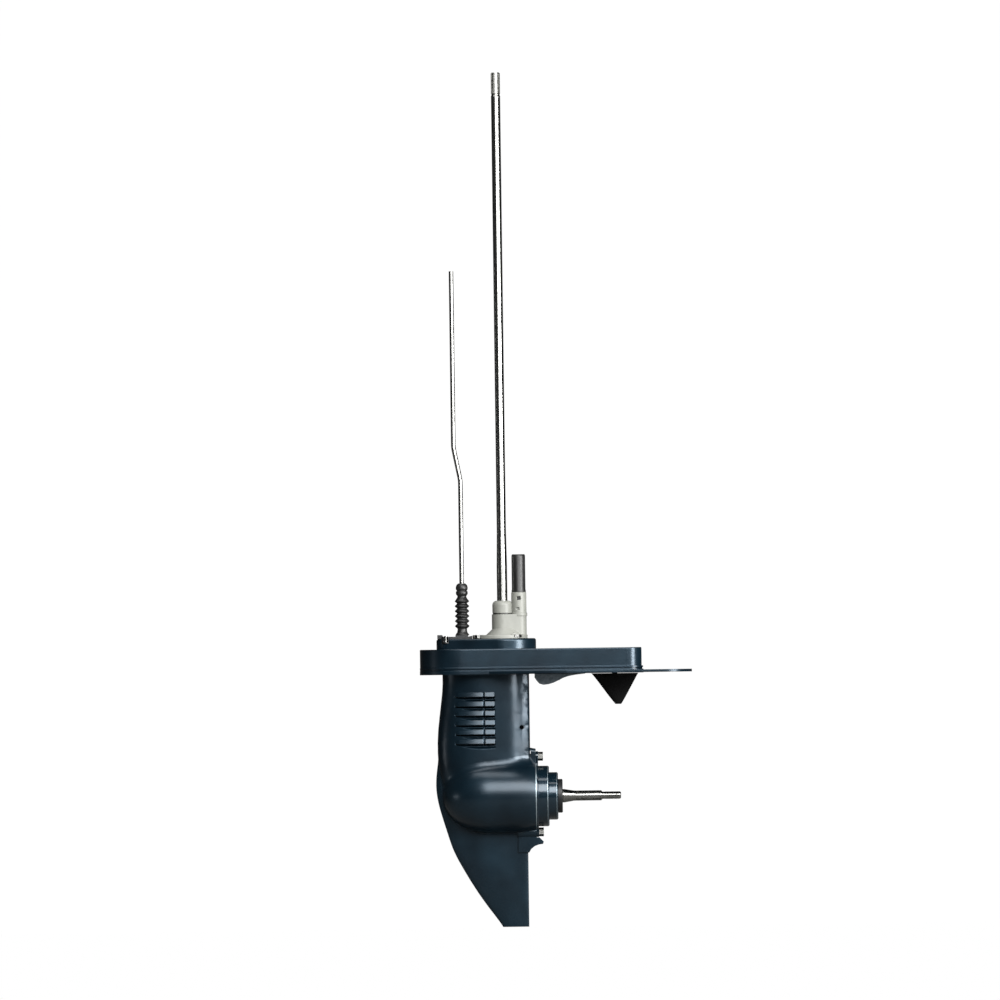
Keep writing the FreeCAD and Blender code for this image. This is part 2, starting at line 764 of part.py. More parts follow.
def casting_shape():
    drop = value("propshaft_drop")
    axis = Vector(0, 0, -drop)
    leg = leg_loft(0, 0)
    torpedo = torpedo_solid(axis)
    upper_part = leg.fuse(torpedo)
    cheeks = [edge for edge in seam(upper_part, leg, torpedo)
              if edge.Length > LONG_SEAM or max(edge.BoundBox.YMax, -edge.BoundBox.YMin) > WIDE_SEAM]
    body = upper_part.makeFillet(value("leg_fillet"), cheeks)
    body = body.fuse(skeg_loft())
    for boss in bolt_bosses():
        body = body.fuse(boss)

    rim_foot = value("rim_depth")
    rim = raised(rim_wire(0, -rim_foot), rim_foot)
    rim = rim.makeFillet(value("rim_edge"), [edge for edge in rim.Edges if edge.BoundBox.ZMin > -1])
    reach = value("flange_reach")
    levels = (("rim_depth", "flange_groove_foot", reach),
              ("flange_groove_foot", "flange_groove_top", reach * 0.3),
              ("flange_groove_top", "flange_top", reach * 0.8))
    for foot, top, grow in levels:
        rim = rim.fuse(raised(rim_wire(grow, -value(foot)), value(f"{foot} - {top}")))
    deck = raised(hull_wire(value("pump_deck_centre"), value("pump_deck_radius"),
                            -value("boot_deck_centre"), value("boot_deck_radius"), -2),
                  value("deck_height + 2"))
    deck = deck.makeFillet(value("deck_edge"), [edge for edge in deck.Edges
                                                if edge.BoundBox.ZMin > 1])
    body = body.fuse(rim).fuse(plate_solid()).fuse(deck)

    chamber_front = value("exhaust_front")
    chamber = Part.makeBox(value("exhaust_aft") - chamber_front, 2 * value("exhaust_half_width"), 60,
                           Vector(chamber_front, -value("exhaust_half_width"),
                                  -value("exhaust_floor")))
    upright = [edge for edge in chamber.Edges
               if abs(edge.Vertexes[0].Point.z - edge.Vertexes[1].Point.z) > 1]
    chamber = chamber.makeFillet(value("chamber_corner"), upright)
    holes = []
    for x_side in (1, -1):
        for y_side in (1, -1):
            foot = Vector(x_side * value("mount_spacing_x") / 2, y_side * value("mount_spacing_y") / 2,
                          -40)
            holes.append(rod(value("mount_hole_radius"), foot, foot + Vector(0, 0, 60)))
            if x_side > 0:
                chamber = chamber.cut(rod(value("mount_boss_radius"), foot,
                                          foot + Vector(0, 0, 80)))
    body = body.cut(chamber)

    back = value("duct_aft")
    front = value("duct_front")
    duct = [(62, -8), (62, -20), (back, -23.5), (back, 54.5 - drop), (29, 49.5 - drop),
            (29, 36.5 - drop), (33.5, 36.5 - drop), (33.5, 30.5 - drop), (25.6, 30.5 - drop),
            (25.6, 36.5 - drop), (front, 40.5 - drop), (front, -8)]
    body = body.cut(side_slab(duct, value("duct_half_width")))

    depth = value("gallery_bottom - gallery_top")
    core_box = Part.makeBox(value("gallery_front - gallery_aft"), 80, depth,
                            Vector(-value("gallery_front"), -40, -value("gallery_bottom")))
    web = Part.makeBox(80, value("gallery_web"), 120, Vector(-70, -value("gallery_web") / 2, -140))
    gallery = leg_loft(value("cheek_wall"), value("leading_wall")).common(core_box).cut(web)
    body = body.cut(gallery)
    body = body.cut(louvre_slots())

    floor = value("pump_floor")
    shaft = value("lower_shaft_radius")
    gear_top = value("gear_module * gear_teeth / 2 + pinion_hub_length") - drop
    seat = value("lower_shaft_radius + 2 * pinion_roller_radius + pinion_bearing_wall")
    seat_foot = gear_top + value("thrust_washer")
    seat_top = seat_foot + value("pinion_bearing_length")
    rod_x = -value("shift_rod_x")
    relief = Vector(value("relief_hole_x"), 0, -value("relief_hole_z"))
    bores = [
        rod(value("cup_inner_radius + cup_wall + cup_offset + 0.1"), Vector(0, 0, -floor),
            Vector(0, 0, 30)),
        rod(value("shaft_seal_radius"), Vector(0, 0, -floor - 10), Vector()),
        rod(value("shaft_bush_radius"), Vector(0, 0, -floor - 32), Vector()),
        rod(shaft + 1.2, Vector(0, 0, 22.5 - drop), Vector()),
        rod(seat, Vector(0, 0, seat_foot), Vector(0, 0, seat_top)),
        rod(value("pinion_space_radius"), axis, Vector(0, 0, seat_foot)),
        rod(value("gear_space_radius"), axis + Vector(-value("forward_bearing_start"), 0, 0),
            axis + Vector(30, 0, 0)),
        rod(value("forward_cup_radius"),
            axis + Vector(-value("forward_bearing_start + forward_bearing_width"), 0, 0), axis),
        rod(value("cam_pocket_radius"), axis + Vector(-value("cam_pocket_end"), 0, 0), axis),
        rod(value("carrier_bore_radius"), axis + Vector(value("carrier_disc_start") - 0.5, 0, 0),
            axis + Vector(60, 0, 0)),
        rod(value("cam_shaft_radius"), axis + Vector(rod_x, 0, -18.5), axis + Vector(rod_x, 0, 32)),
        rod(value("shift_rod_radius") + 0.8, axis + Vector(rod_x, 0, 0), Vector(rod_x, 0, 40)),
        rod(value("rod_seal_radius"), Vector(rod_x, 0, value("deck_height") - 4),
            Vector(rod_x, 0, 40)),
        rod(value("water_port_radius"), Vector(-value("water_port_x"), 0, -value("gallery_top + 1")),
            Vector(-value("water_port_x"), 0, 0)),
        rod(value("relief_hole_radius"), relief, relief - Vector(0, 40, 0)),
        rod(3.2, Vector(value("tab_axis_x"), 0, -40), Vector(value("tab_axis_x"), 0, 0)),
        rod(value("anode_screw_radius"), Vector(value("anode_screw_x"), 0, -40),
            Vector(value("anode_screw_x"), 0, 0)),
        rod(value("carrier_bolt_radius"), axis + Vector(25, 0, value("upper_bolt_lift")),
            axis + Vector(60, 0, value("upper_bolt_lift"))),
        rod(value("carrier_bolt_radius"), axis + Vector(25, 0, -value("lower_bolt_drop")),
            axis + Vector(60, 0, -value("lower_bolt_drop")))]
    for x, y in pump_bolt_places():
        foot = Vector(x, y, value("pump_pocket_floor - pump_bolt_depth - 1"))
        holes.append(rod(value("pump_bolt_radius"), foot, foot + Vector(0, 0, 20)))
    ear = Vector(-value("retainer_bolt_x"), -value("retainer_bolt_y"), value("retainer_step"))
    holes.append(rod(value("retainer_step_radius"), ear, ear + Vector(0, 0, 20)))
    holes.append(rod(value("retainer_screw_radius"), ear - Vector(0, 0, 10), ear))
    for plug in oil_plug_places():
        holes.append(rod(value("plug_radius"), plug - Vector(0, 14, 0), plug + Vector(0, 10, 0)))
        holes.append(rod(6.6, plug, plug + Vector(0, 20, 0)))
    for tool in bores + holes:
        body = body.cut(tool)
    return body


def pump_bolt_places():
    """The pump housing's four bolts, aft pair first."""
    return [(x, side * y) for x, y in
            ((value("pump_bolt_aft"), value("pump_bolt_aft_y")),
             (-value("pump_bolt_front"), value("pump_bolt_front_y"))) for side in (1, -1)]


def louvre_slots():
    """Round-ended slots through both cheeks, the sloping lip under each and an upright notch."""
    half = value("louvre_height") / 2
    front = -value("louvre_front") + half
    end = -value("louvre_end") - half
    cheek = value("leg_half_width")
    lip = value("louvre_lip")
    tools = []
    for index in range(int(value("louvre_count"))):
        level = -value("louvre_first") - index * value("louvre_pitch")
        for side in (1, -1):
            start = side * (cheek + 8)
            low, high = level - half, level + half
            edges = [Part.makeLine(Vector(front, start, low), Vector(end, start, low)),
                     Part.Arc(Vector(end, start, low), Vector(end + half, start, level),
                              Vector(end, start, high)).toShape(),
                     Part.makeLine(Vector(end, start, high), Vector(front, start, high)),
                     Part.Arc(Vector(front, start, high), Vector(front - half, start, level),
                              Vector(front, start, low)).toShape()]
            face = Part.Face(Part.Wire(edges))
            tools.append(face.extrude(Vector(0, -side * 22, value("louvre_slope"))))
            inner = side * (cheek - 0.6 - value("louvre_lip_depth"))
            outer = side * (cheek + 1)
            slope = [Vector(front, outer, low + 1), Vector(front, outer, low - lip),
                     Vector(front, inner, low + 1)]
            wedge = Part.Face(Part.makePolygon(slope + slope[:1]))
            tools.append(wedge.extrude(Vector(end + half - front, 0, 0)))
    tall = value("louvre_pitch * (louvre_count - 1)")
    wide = value("louvre_notch_width")
    inner = cheek - 0.6 - value("louvre_notch_depth")
    for low_y in (inner, -cheek - 1):
        tools.append(Part.makeBox(wide, cheek + 1 - inner, tall,
                                  Vector(-value("louvre_notch_x") - wide / 2, low_y,
                                         -value("louvre_first") - tall)))
    return Part.makeCompound(tools)


def oil_plug_places():
    """The drain and level plugs' seats, on the starboard side."""
    drop = value("propshaft_drop")
    low = 16.0
    side = math.sqrt(value("torpedo_radius") ** 2 - low ** 2) - 1.6
    cheek = value("leg_half_width") * 0.96 - 2.0
    return [Vector(-14, side, -drop - low), Vector(-2, cheek, 47.5 - drop)]


feature("gearcase_casting", casting_shape())


# Anode and trim tab, under the plate
anode = prism("anode_block",
              [("34.4", "-rim_depth"), ("34.4", "-32"), ("36.7", "-35.6"), ("39.6", "-38.8"),
               ("44.1", "-40.2"), ("49.6", "-39.6"), ("55.2", "-38"), ("60.7", "-35.4"),
               ("66.2", "-32.7"), ("71.8", "-30.9"), ("79", "-29.6"), ("90", "-rim_depth - 0.4"),
               ("90", "-rim_depth")], "anode_half_width")
anode_bore = cylinder("anode_bore", "anode_screw_radius", "20", "anode_screw_x", z="-45")
anode_sink = cylinder("anode_sink", "anode_screw_radius + 1.8", "10", "anode_screw_x", z="-42.6")
keep(cut("anode", anode, anode_bore, anode_sink), "sacrificial_anode")
anode_shank = "anode_screw_radius - 0.05"
keep(turned("anode_screw", [("-35.4", "0"), ("-35.4", "3.2"), ("-34.2", "4.2"), ("-32.6", "4.2"),
                            ("-32.6", anode_shank), ("-exhaust_floor + 2", anode_shank),
                            ("-exhaust_floor + 2", "0")], x="anode_screw_x"), "anode_screw")


def trim_tab_shape():
    """A round foot under the plate and a fin that tapers to its edges and its rounded tip."""
    top = -value("rim_depth + tab_gap")
    axis = value("tab_axis_x")
    thick = value("tab_half_thickness")
    side = [(-25.6, 0), (-22.6, -3.4), (-15.9, -12.4), (-6.4, -25.4), (-1.8, -31.2),
            (1.0, -34.6), (3.8, -35.6), (6.6, -34.4), (9.8, -29.4), (15.7, -18.8), (26.0, 0)]

    def slice_at(depth, half):
        front = [x for x, z in side[:6]]
        front_z = [z for x, z in side[:6]]
        aft = [x for x, z in side[6:]]
        aft_z = [z for x, z in side[6:]]

        def reach(places, levels):
            for (x_one, z_one), (x_two, z_two) in zip(zip(places, levels),
                                                      zip(places[1:], levels[1:])):
                if min(z_one, z_two) <= depth <= max(z_one, z_two):
                    return x_one + (x_two - x_one) * (depth - z_one) / (z_two - z_one)
            return places[-1]
        start, end = reach(front, front_z), reach(aft, aft_z)
        middle = (start + end) / 2
        reach_half = (end - start) / 2
        ellipse = Part.Ellipse(Vector(axis + middle, 0, top + depth), reach_half, half)
        return Part.Wire([ellipse.toShape()])
    depths = [0, -6, -13, -20, -26, -31, -34]
    halves = [thick, thick * 0.97, thick * 0.9, thick * 0.8, thick * 0.68, thick * 0.52,
              thick * 0.34]
    fin = Part.makeLoft([slice_at(depth, half) for depth, half in zip(depths, halves)], True)
    foot = Part.makeCylinder(value("tab_disc_radius") * 0.46, 3.4, Vector(axis, 0, top - 3.4), UP)
    bore = Part.makeCylinder(3.0, 22, Vector(axis, 0, top - 16), UP)
    return fin.fuse(foot).cut(bore)


feature("trim_tab", trim_tab_shape())
tab_bolt_head = hexagon("tab_bolt_head", "9", "4", "tab_axis_x", z="-exhaust_floor + 1.2")
tab_bolt_washer = cylinder("tab_bolt_washer", "7", "1", "tab_axis_x", z="-exhaust_floor + 0.2")
tab_bolt_shank = cylinder("tab_bolt_shank", "2.95", "22", "tab_axis_x",
                          z="-exhaust_floor - 21.4")
keep(joined("tab_bolt", tab_bolt_head, tab_bolt_washer, tab_bolt_shank), "trim_tab_bolt")


# Bearing carrier and what it holds
def carrier_shape():
    bore = value("carrier_bore_radius") - 0.05
    disc_start = value("carrier_disc_start")
    disc_end = value("carrier_disc_end")
    barrel = value("carrier_barrel_radius")
    flange_front = value("carrier_flange_front")
    flange_face = value("carrier_flange_face")
    race = value("reverse_race_radius")
    race_end = value("reverse_bearing_start + reverse_bearing_width")
    needle = value("needle_outer_radius")
    needle_start = value("needle_start")
    needle_end = value("needle_start + needle_length")
    seal = value("seal_outer_radius")
    seal_start = value("seal_start")
    ring_end = value("carrier_ring_end")
    neck_end = value("carrier_neck_end")
    end = value("carrier_collar_end")
    groove = (disc_start + disc_end) / 2
    ring_radius = value("carrier_ring_radius")
    neck = value("carrier_neck_radius")
    collar = value("carrier_collar_radius")
    profile = [(race, disc_start), (bore, disc_start), (bore, groove - 1.2),
               (bore - 2.0, groove - 1.2), (bore - 2.0, groove + 1.2), (bore, groove + 1.2),
               (bore, disc_end), (barrel, disc_end), (barrel, flange_front),
               (value("torpedo_aft_radius"), flange_front),
               (value("torpedo_aft_radius"), flange_face - 0.6),
               (value("torpedo_aft_radius") - 0.6, flange_face), (ring_radius, flange_face),
               (ring_radius, ring_end - 1.5), (ring_radius - 1.0, ring_end), (neck, ring_end),
               (neck, neck_end - 1.2), (neck - 1.2, neck_end), (collar, neck_end),
               (collar, end - 0.8), (collar - 0.8, end), (seal, end), (seal, seal_start),
               (9.0, seal_start), (9.0, needle_end), (needle, needle_end),
               (needle, needle_start), (17.0, needle_start), (17.0, race_end),
               (race, race_end)]
    body = revolve_profile(profile)
    fill = 2 * math.degrees(math.asin(value("window_width") / 2 / value("window_outer_radius")))
    long = ring_end - flange_front + 2
    for index in range(int(value("window_count"))):
        outer = Part.makeCylinder(value("window_outer_radius"), long, Vector(0, 0, flange_front - 1),
                                  UP, fill)
        inner = Part.makeCylinder(value("window_inner_radius"), long,
                                  Vector(0, 0, flange_front - 1), UP)
        window = outer.cut(inner)
        window.rotate(Vector(), UP, 360 * index / value("window_count") - fill / 2 + 30)
        body = body.cut(window)
    thick = flange_face - flange_front
    wide = value("carrier_ear_radius")
    root = value("torpedo_aft_radius") - 4
    for reach, turn in ((value("upper_bolt_lift"), 0), (value("lower_bolt_drop"), 180)):
        ear = Part.makeBox(reach - root, 2 * wide, thick, Vector(root, -wide, flange_front), UP)
        ear = ear.fuse(Part.makeCylinder(wide, thick, Vector(reach, 0, flange_front), UP))
        ear = ear.cut(Part.makeCylinder(value("carrier_bolt_radius") + 0.15, 20,
                                        Vector(reach, 0, flange_front - 5), UP))
        ear.rotate(Vector(), UP, turn)
        body = body.fuse(ear)
    return lengthwise(body)


def lengthwise(shape, forward=False):
    """A piece drawn about +Z, laid on the propeller shaft's axis, facing aft or forward.

    What pointed along +X before is on top afterwards.
    """
    turned_shape = shape.copy()
    turned_shape.rotate(Vector(), ACROSS, 90)
    turned_shape.rotate(Vector(), ALONG, 180)
    if forward:
        turned_shape.rotate(Vector(), UP, 180)
    turned_shape.translate(Vector(0, 0, -value("propshaft_drop")))
    return turned_shape


feature("bearing_carrier", carrier_shape())
o_ring = doc.addObject("Part::Torus", "o_ring")
o_ring.setExpression("Radius1", bound("carrier_bore_radius - 1.0"))
o_ring.Radius2 = 0.9
o_ring.Placement = Placement(Vector(), Rotation(UP, ALONG))
place(o_ring, "(carrier_disc_start + carrier_disc_end) / 2", z="-propshaft_drop")
keep(o_ring, "carrier_o_ring")
carrier_bolts = []
for place_name, lift in (("upper", "upper_bolt_lift"), ("lower", "-lower_bolt_drop")):
    level = f"-propshaft_drop + {lift}"
    head = hexagon(f"{place_name}_carrier_head", "carrier_bolt_head", "carrier_bolt_head_height",
                   "carrier_flange_face", z=level, direction=ALONG)
    shank = cylinder(f"{place_name}_carrier_shank", "carrier_bolt_radius - 0.05",
                     "carrier_flange_face - 25.2", "25.2", z=level, direction=ALONG)
    carrier_bolts.append(joined(f"{place_name}_carrier_bolt", head, shank))
keep(grouped("carrier_bolt_pair", carrier_bolts), "carrier_bolts")
needle_end = "needle_start + needle_length"
needle_bore = "propshaft_radius + running_clearance"
keep(on_propshaft("needle_bearing", [("needle_start", needle_bore),
                                     ("needle_start", "needle_outer_radius"),
                                     (needle_end, "needle_outer_radius"),
                                     (needle_end, needle_bore)]), "propshaft_needle_bearing")
seals = []
for number in range(2):
    start = f"seal_start + {number} * seal_width"
    end = f"seal_start + {number + 1} * seal_width - 0.2"
    seals.append(on_propshaft(f"seal_{number + 1}", [
        (start, needle_bore), (start, "seal_outer_radius"), (end, "seal_outer_radius"),
        (end, "seal_outer_radius - 2"), (f"{start} + 1.6", "seal_outer_radius - 2"),
        (f"{start} + 1.6", f"{needle_bore} + 1.6"), (f"{start} + 3.6", f"{needle_bore} + 1.2"),
        (f"{start} + 3.6", needle_bore)]))
keep(grouped("seal_pair", seals), "propshaft_seals")


# Bearings of the gears and the drive shaft
def roller_ring(count, radius, length, circle, start):
    """Rollers about +Z, standing on a circle."""
    rollers = []
    for index in range(count):
        angle = 2 * math.pi * index / count
        foot = Vector(circle * math.cos(angle), circle * math.sin(angle), start)
        rollers.append(Part.makeCylinder(radius, length, foot, UP))
    return Part.makeCompound(rollers)


forward_start = value("forward_bearing_start")
forward_width = value("forward_bearing_width")
forward_seat = value("gear_hub_radius")
forward_race = value("gear_hub_radius + 4.4")
forward_circle = forward_race + value("forward_roller_radius + running_clearance")
forward_outer = forward_circle + value("forward_roller_radius + running_clearance")
keep(on_propshaft("forward_cup", [("-forward_bearing_start", str(forward_outer)),
                                  ("-forward_bearing_start", "forward_cup_radius"),
                                  ("-forward_bearing_start - forward_bearing_width",
                                   "forward_cup_radius"),
                                  ("-forward_bearing_start - forward_bearing_width",
                                   str(forward_outer))]), "forward_bearing_cup")
keep(on_propshaft("forward_inner", [
    ("-forward_bearing_start + 0.8", "gear_hub_radius"),
    ("-forward_bearing_start + 0.8", "gear_hub_radius + 6.4"),
    ("-forward_bearing_start - 0.8", "gear_hub_radius + 6.4"),
    ("-forward_bearing_start - 0.8", "gear_hub_radius + 4.4"),
    ("-forward_bearing_start - forward_bearing_width + 0.8", "gear_hub_radius + 4.4"),
    ("-forward_bearing_start - forward_bearing_width + 0.8", "gear_hub_radius")]),
     "forward_bearing_cone")
feature("forward_bearing_rollers", lengthwise(roller_ring(
    int(value("forward_roller_count")), value("forward_roller_radius"), forward_width - 4.0,
    forward_circle, forward_start + 1.6), forward=True))
ball_circle = value("gear_hub_radius + reverse_race_radius") / 2
race_start = value("reverse_bearing_start")
race_width = value("reverse_bearing_width")
race_middle = race_start + race_width / 2
ball_path = Part.makeTorus(ball_circle, value("ball_radius + running_clearance"),
                           Vector(0, 0, race_middle), UP)


def race(inner, outer):
    return revolve_profile([(inner, race_start), (outer, race_start),
                            (outer, race_start + race_width),
                            (inner, race_start + race_width)]).cut(ball_path)


feature("reverse_bearing_inner_race", lengthwise(race(value("gear_hub_radius"),
                                                      ball_circle - 1.4)))
feature("reverse_bearing_outer_race", lengthwise(race(ball_circle + 1.4,
                                                      value("reverse_race_radius"))))
balls = []
for index in range(int(value("ball_count"))):
    angle = 2 * math.pi * index / value("ball_count")
    centre = Vector(ball_circle * math.cos(angle), ball_circle * math.sin(angle), race_middle)
    balls.append(Part.makeSphere(value("ball_radius"), centre))
feature("reverse_bearing_balls", lengthwise(Part.makeCompound(balls)))

gear_top = "-propshaft_drop + gear_module * gear_teeth / 2 + pinion_hub_length"
pinion_circle = "(lower_shaft_radius + pinion_roller_radius + running_clearance)"
race_inner = "lower_shaft_radius + 2 * pinion_roller_radius + 2 * running_clearance"
race_outer = "lower_shaft_radius + 2 * pinion_roller_radius + pinion_bearing_wall"
seat_foot = f"{gear_top} + thrust_washer"
seat_top = f"{seat_foot} + pinion_bearing_length"
keep(turned("pinion_race", [(f"{seat_foot} + 0.1", race_inner), (f"{seat_foot} + 0.1", race_outer),
                            (seat_top, race_outer), (seat_top, race_inner)]),
     "pinion_bearing_cup")
rollers = roller_ring(int(value("pinion_roller_count")), value("pinion_roller_radius"),
                      value("pinion_bearing_length") - 1.4, value(pinion_circle),
                      value(seat_foot) + 0.7)
feature("pinion_bearing_rollers", rollers)
keep(ring("washer", "lower_shaft_radius + 0.05", "14", f"{gear_top} + 0.05",
          f"{seat_foot} - 0.05"), "pinion_thrust_washer")
shaft_bore = "lower_shaft_radius + running_clearance"
keep(ring("bush", shaft_bore, "shaft_bush_radius", "-pump_floor - 32", "-pump_floor - 12"),
     "drive_shaft_bush")
shaft_seals = []
for number in range(2):
    start = f"-pump_floor - 10 + {number} * 5"
    end = f"{start} + 4.8"
    shaft_seals.append(turned(f"shaft_seal_{number + 1}", [
        (start, shaft_bore), (start, "shaft_seal_radius"), (end, "shaft_seal_radius"),
        (end, "shaft_seal_radius - 1.6"), (f"{start} + 1.4", "shaft_seal_radius - 1.6"),
        (f"{start} + 1.4", f"{shaft_bore} + 1.4"), (f"{start} + 3", f"{shaft_bore} + 1"),
        (f"{start} + 3", shaft_bore)]))
keep(grouped("shaft_seal_pair", shaft_seals), "drive_shaft_seals")

# Gears
pinion, pinion_foot = pinion_shape()
pinion.translate(Vector(0, 0, -value("propshaft_drop")))
feature("pinion_gear", pinion)
nut_top = value("-propshaft_drop") + pinion_foot
nut = hexagon("nut_block", "pinion_nut_flats", "pinion_nut_height",
              z=f"{nut_top} - pinion_nut_height")
nut_bore = cylinder("nut_bore", "pinion_thread_radius", "20", z=f"{nut_top} - 10")
keep(cut("nut", nut, nut_bore), "pinion_nut")
gear_pitch = math.pi / value("gear_teeth")
forward_gear = driven_gear_shape(value("forward_hub_end"), gear_pitch,
                                 value("forward_bearing_start"))
feature("forward_gear", lengthwise(forward_gear, forward=True))
reverse_gear = driven_gear_shape(value("reverse_hub_end"), 0.0, value("reverse_bearing_start"))
feature("reverse_gear", lengthwise(reverse_gear))
for name, sign, end in (("forward_gear_bush", -1, "forward_hub_end"),
                        ("reverse_gear_bush", 1, "reverse_hub_end")):
    bush_front = "(clutch_half_width + 2 * dog_height + dog_gap + 3)"
    keep(on_propshaft(f"{name}_ring", [
        (f"{sign} * {bush_front}", needle_bore), (f"{sign} * {bush_front}", "bush_radius"),
        (f"{sign} * {end}", "bush_radius"), (f"{sign} * {end}", needle_bore)]), name)

# Drive shaft
drive_shaft = turned("drive_shaft_bar", [
    (f"{nut_top} - pinion_nut_height - 1", "0"),
    (f"{nut_top} - pinion_nut_height - 1", "pinion_thread_radius"),
    (str(nut_top), "pinion_thread_radius"), (str(nut_top), "pinion_bore"),
    (gear_top, "pinion_bore"), (gear_top, "lower_shaft_radius"),
    ("lower_shaft_top", "lower_shaft_radius"),
    ("lower_shaft_top + shaft_taper", "drive_shaft_radius"),
    ("drive_shaft_top - drive_spline_length - 3", "drive_shaft_radius"),
    ("drive_shaft_top - drive_spline_length - 2", "drive_shaft_radius - 0.5"),
    ("drive_shaft_top - drive_spline_length - 1", "drive_shaft_radius - 0.5"),
    ("drive_shaft_top - drive_spline_length", "drive_shaft_radius"),
    ("drive_shaft_top - shaft_chamfer", "drive_shaft_radius"),
    ("drive_shaft_top", "drive_shaft_radius - shaft_chamfer"), ("drive_shaft_top", "0")])
key_foot = "-pump_floor + gasket_thickness + wear_plate + 1.5"
key_slot = box("key_slot", ("lower_shaft_radius - 1.4", "-key_half_width", key_foot),
               ("lower_shaft_radius + 2", "key_half_width", f"{key_foot} + key_length"))


def spline_grooves(name, count, radius, start, end):
    """Straight grooves about +Z that leave as many splines as there are grooves."""
    wide = value("spline_width")
    deep = value("spline_depth")
    grooves = []
    for index in range(int(value(count))):
        groove = Part.makeBox(4, wide, end - start, Vector(radius - deep, -wide / 2, start), UP)
        groove.rotate(Vector(), UP, 360 * index / value(count))
        grooves.append(groove)
    tool = doc.addObject("Part::Feature", name)
    tool.Shape = Part.makeCompound(grooves)
    return tool


shaft_top = value("drive_shaft_top")
top_grooves = spline_grooves("drive_spline_grooves", "drive_splines", value("drive_shaft_radius"),
                             shaft_top - value("drive_spline_length"), shaft_top + 1)
keep(cut("splined_drive_shaft", drive_shaft, key_slot, top_grooves), "drive_shaft")
keep(box("key", ("lower_shaft_radius - 1.4", "-key_half_width", key_foot),
         ("lower_shaft_radius + 1.1", "key_half_width", f"{key_foot} + key_length")),
     "impeller_key")


def impeller_shape():
    foot = value("-pump_floor + gasket_thickness + wear_plate") + 0.2
    tall = value("impeller_height")
    hub = Part.makeCylinder(value("impeller_hub_radius"), tall, Vector(0, 0, foot), UP)
    thick = value("vane_thickness")
    reach = value("impeller_radius") - thick / 2
    for index in range(int(value("vane_count"))):
        vane = Part.makeBox(reach, thick, tall, Vector(0, -thick / 2, foot), UP)
        tip = Part.makeCylinder(thick / 2 + 0.3, tall, Vector(reach - 0.3, 0, foot), UP)
        vane = vane.fuse(tip)
        vane.rotate(Vector(), UP, 360 * index / value("vane_count") + 15)
        hub = hub.fuse(vane)
    bore = Part.makeCylinder(value("lower_shaft_radius"), 60, Vector(0, 0, -30), UP)
    slot = Part.makeBox(value("lower_shaft_radius") + 1.1, value("2 * key_half_width"),
                        value("key_length"), Vector(0, -value("key_half_width"), value(key_foot)),
                        UP)
    return hub.cut(bore).cut(slot).removeSplitter()


feature("impeller", impeller_shape())

# Propeller shaft, clutch and shift linkage
propshaft = on_propshaft("propshaft_bar", [
    ("-propshaft_front", "propshaft_bore"), ("-propshaft_front", "propshaft_radius - 0.8"),
    ("-propshaft_front + 0.8", "propshaft_radius"), ("cone_start", "propshaft_radius"),
    ("cone_end", "prop_spline_radius"), ("prop_spline_end", "prop_spline_radius"),
    ("prop_spline_end + 1.5", "prop_thread_radius"),
    ("propshaft_end - 1", "prop_thread_radius"), ("propshaft_end", "prop_thread_radius - 1"),
    ("propshaft_end", "0"), ("14", "0"), ("14", "propshaft_bore")])
slot_reach = "(clutch_pin_radius + clutch_travel + 0.3)"
pin_slot = box("pin_slot", (f"-{slot_reach}", "-10", "-propshaft_drop - clutch_pin_radius - 0.1"),
               (slot_reach, "10", "-propshaft_drop + clutch_pin_radius + 0.1"))
cotter_hole = cylinder("cotter_hole", "1.5", "20", "propshaft_end - 5", y="-10",
                       z="-propshaft_drop", direction=ACROSS)
aft_grooves = spline_grooves("propeller_spline_grooves", "prop_splines",
                             value("prop_spline_radius"), value("cone_end + 2"),
                             value("prop_spline_end + 2"))
aft_grooves.Shape = lengthwise(aft_grooves.Shape)
keep(cut("slotted_propshaft", propshaft, pin_slot, cotter_hole, aft_grooves), "propeller_shaft")


def clutch_shape():
    half = value("clutch_half_width")
    outer = value("dog_outer_radius")
    high = value("dog_height")
    body = revolve_profile([(value(needle_bore), -half), (outer, -half), (outer, -1.4),
                            (outer - 1.1, -1.4), (outer - 1.1, 1.4), (outer, 1.4), (outer, half),
                            (value(needle_bore), half)])
    for start in (half - 0.5, -half - high):
        for dog in dog_ring(start, high + 0.5, value("dog_inner_radius"), outer,
                            math.radians(60)):
            body = body.fuse(dog)
    pin = rod(value("clutch_pin_radius"), Vector(0, -30, 0), Vector(0, 30, 0))
    return lengthwise(body.cut(pin))


feature("dog_clutch", clutch_shape())
keep(cylinder("pin_bar", "clutch_pin_radius", "2 * dog_outer_radius - 2.4",
              y="-dog_outer_radius + 1.2", z="-propshaft_drop", direction=ACROSS),
     "clutch_cross_pin")
retainer_ring = doc.addObject("Part::Torus", "pin_ring")
retainer_ring.setExpression("Radius1", bound("dog_outer_radius - 0.55"))
retainer_ring.Radius2 = 0.5
retainer_ring.Placement = Placement(Vector(), Rotation(UP, ALONG))
place(retainer_ring, z="-propshaft_drop")
keep(retainer_ring, "cross_pin_ring")
plunger = on_propshaft("plunger_bar", [
    ("-plunger_tip", "0"), ("-plunger_tip + 0.9", "1.8"), ("-plunger_tip + 1.8", "2.9"),
    ("-plunger_tip + 3", "plunger_radius"), ("plunger_end", "plunger_radius"),
    ("plunger_end", "0")])
plunger_hole = cylinder("plunger_hole", "clutch_pin_radius", "20", y="-10",
                        z="-propshaft_drop", direction=ACROSS)
keep(cut("plunger", plunger, plunger_hole), "shift_plunger")


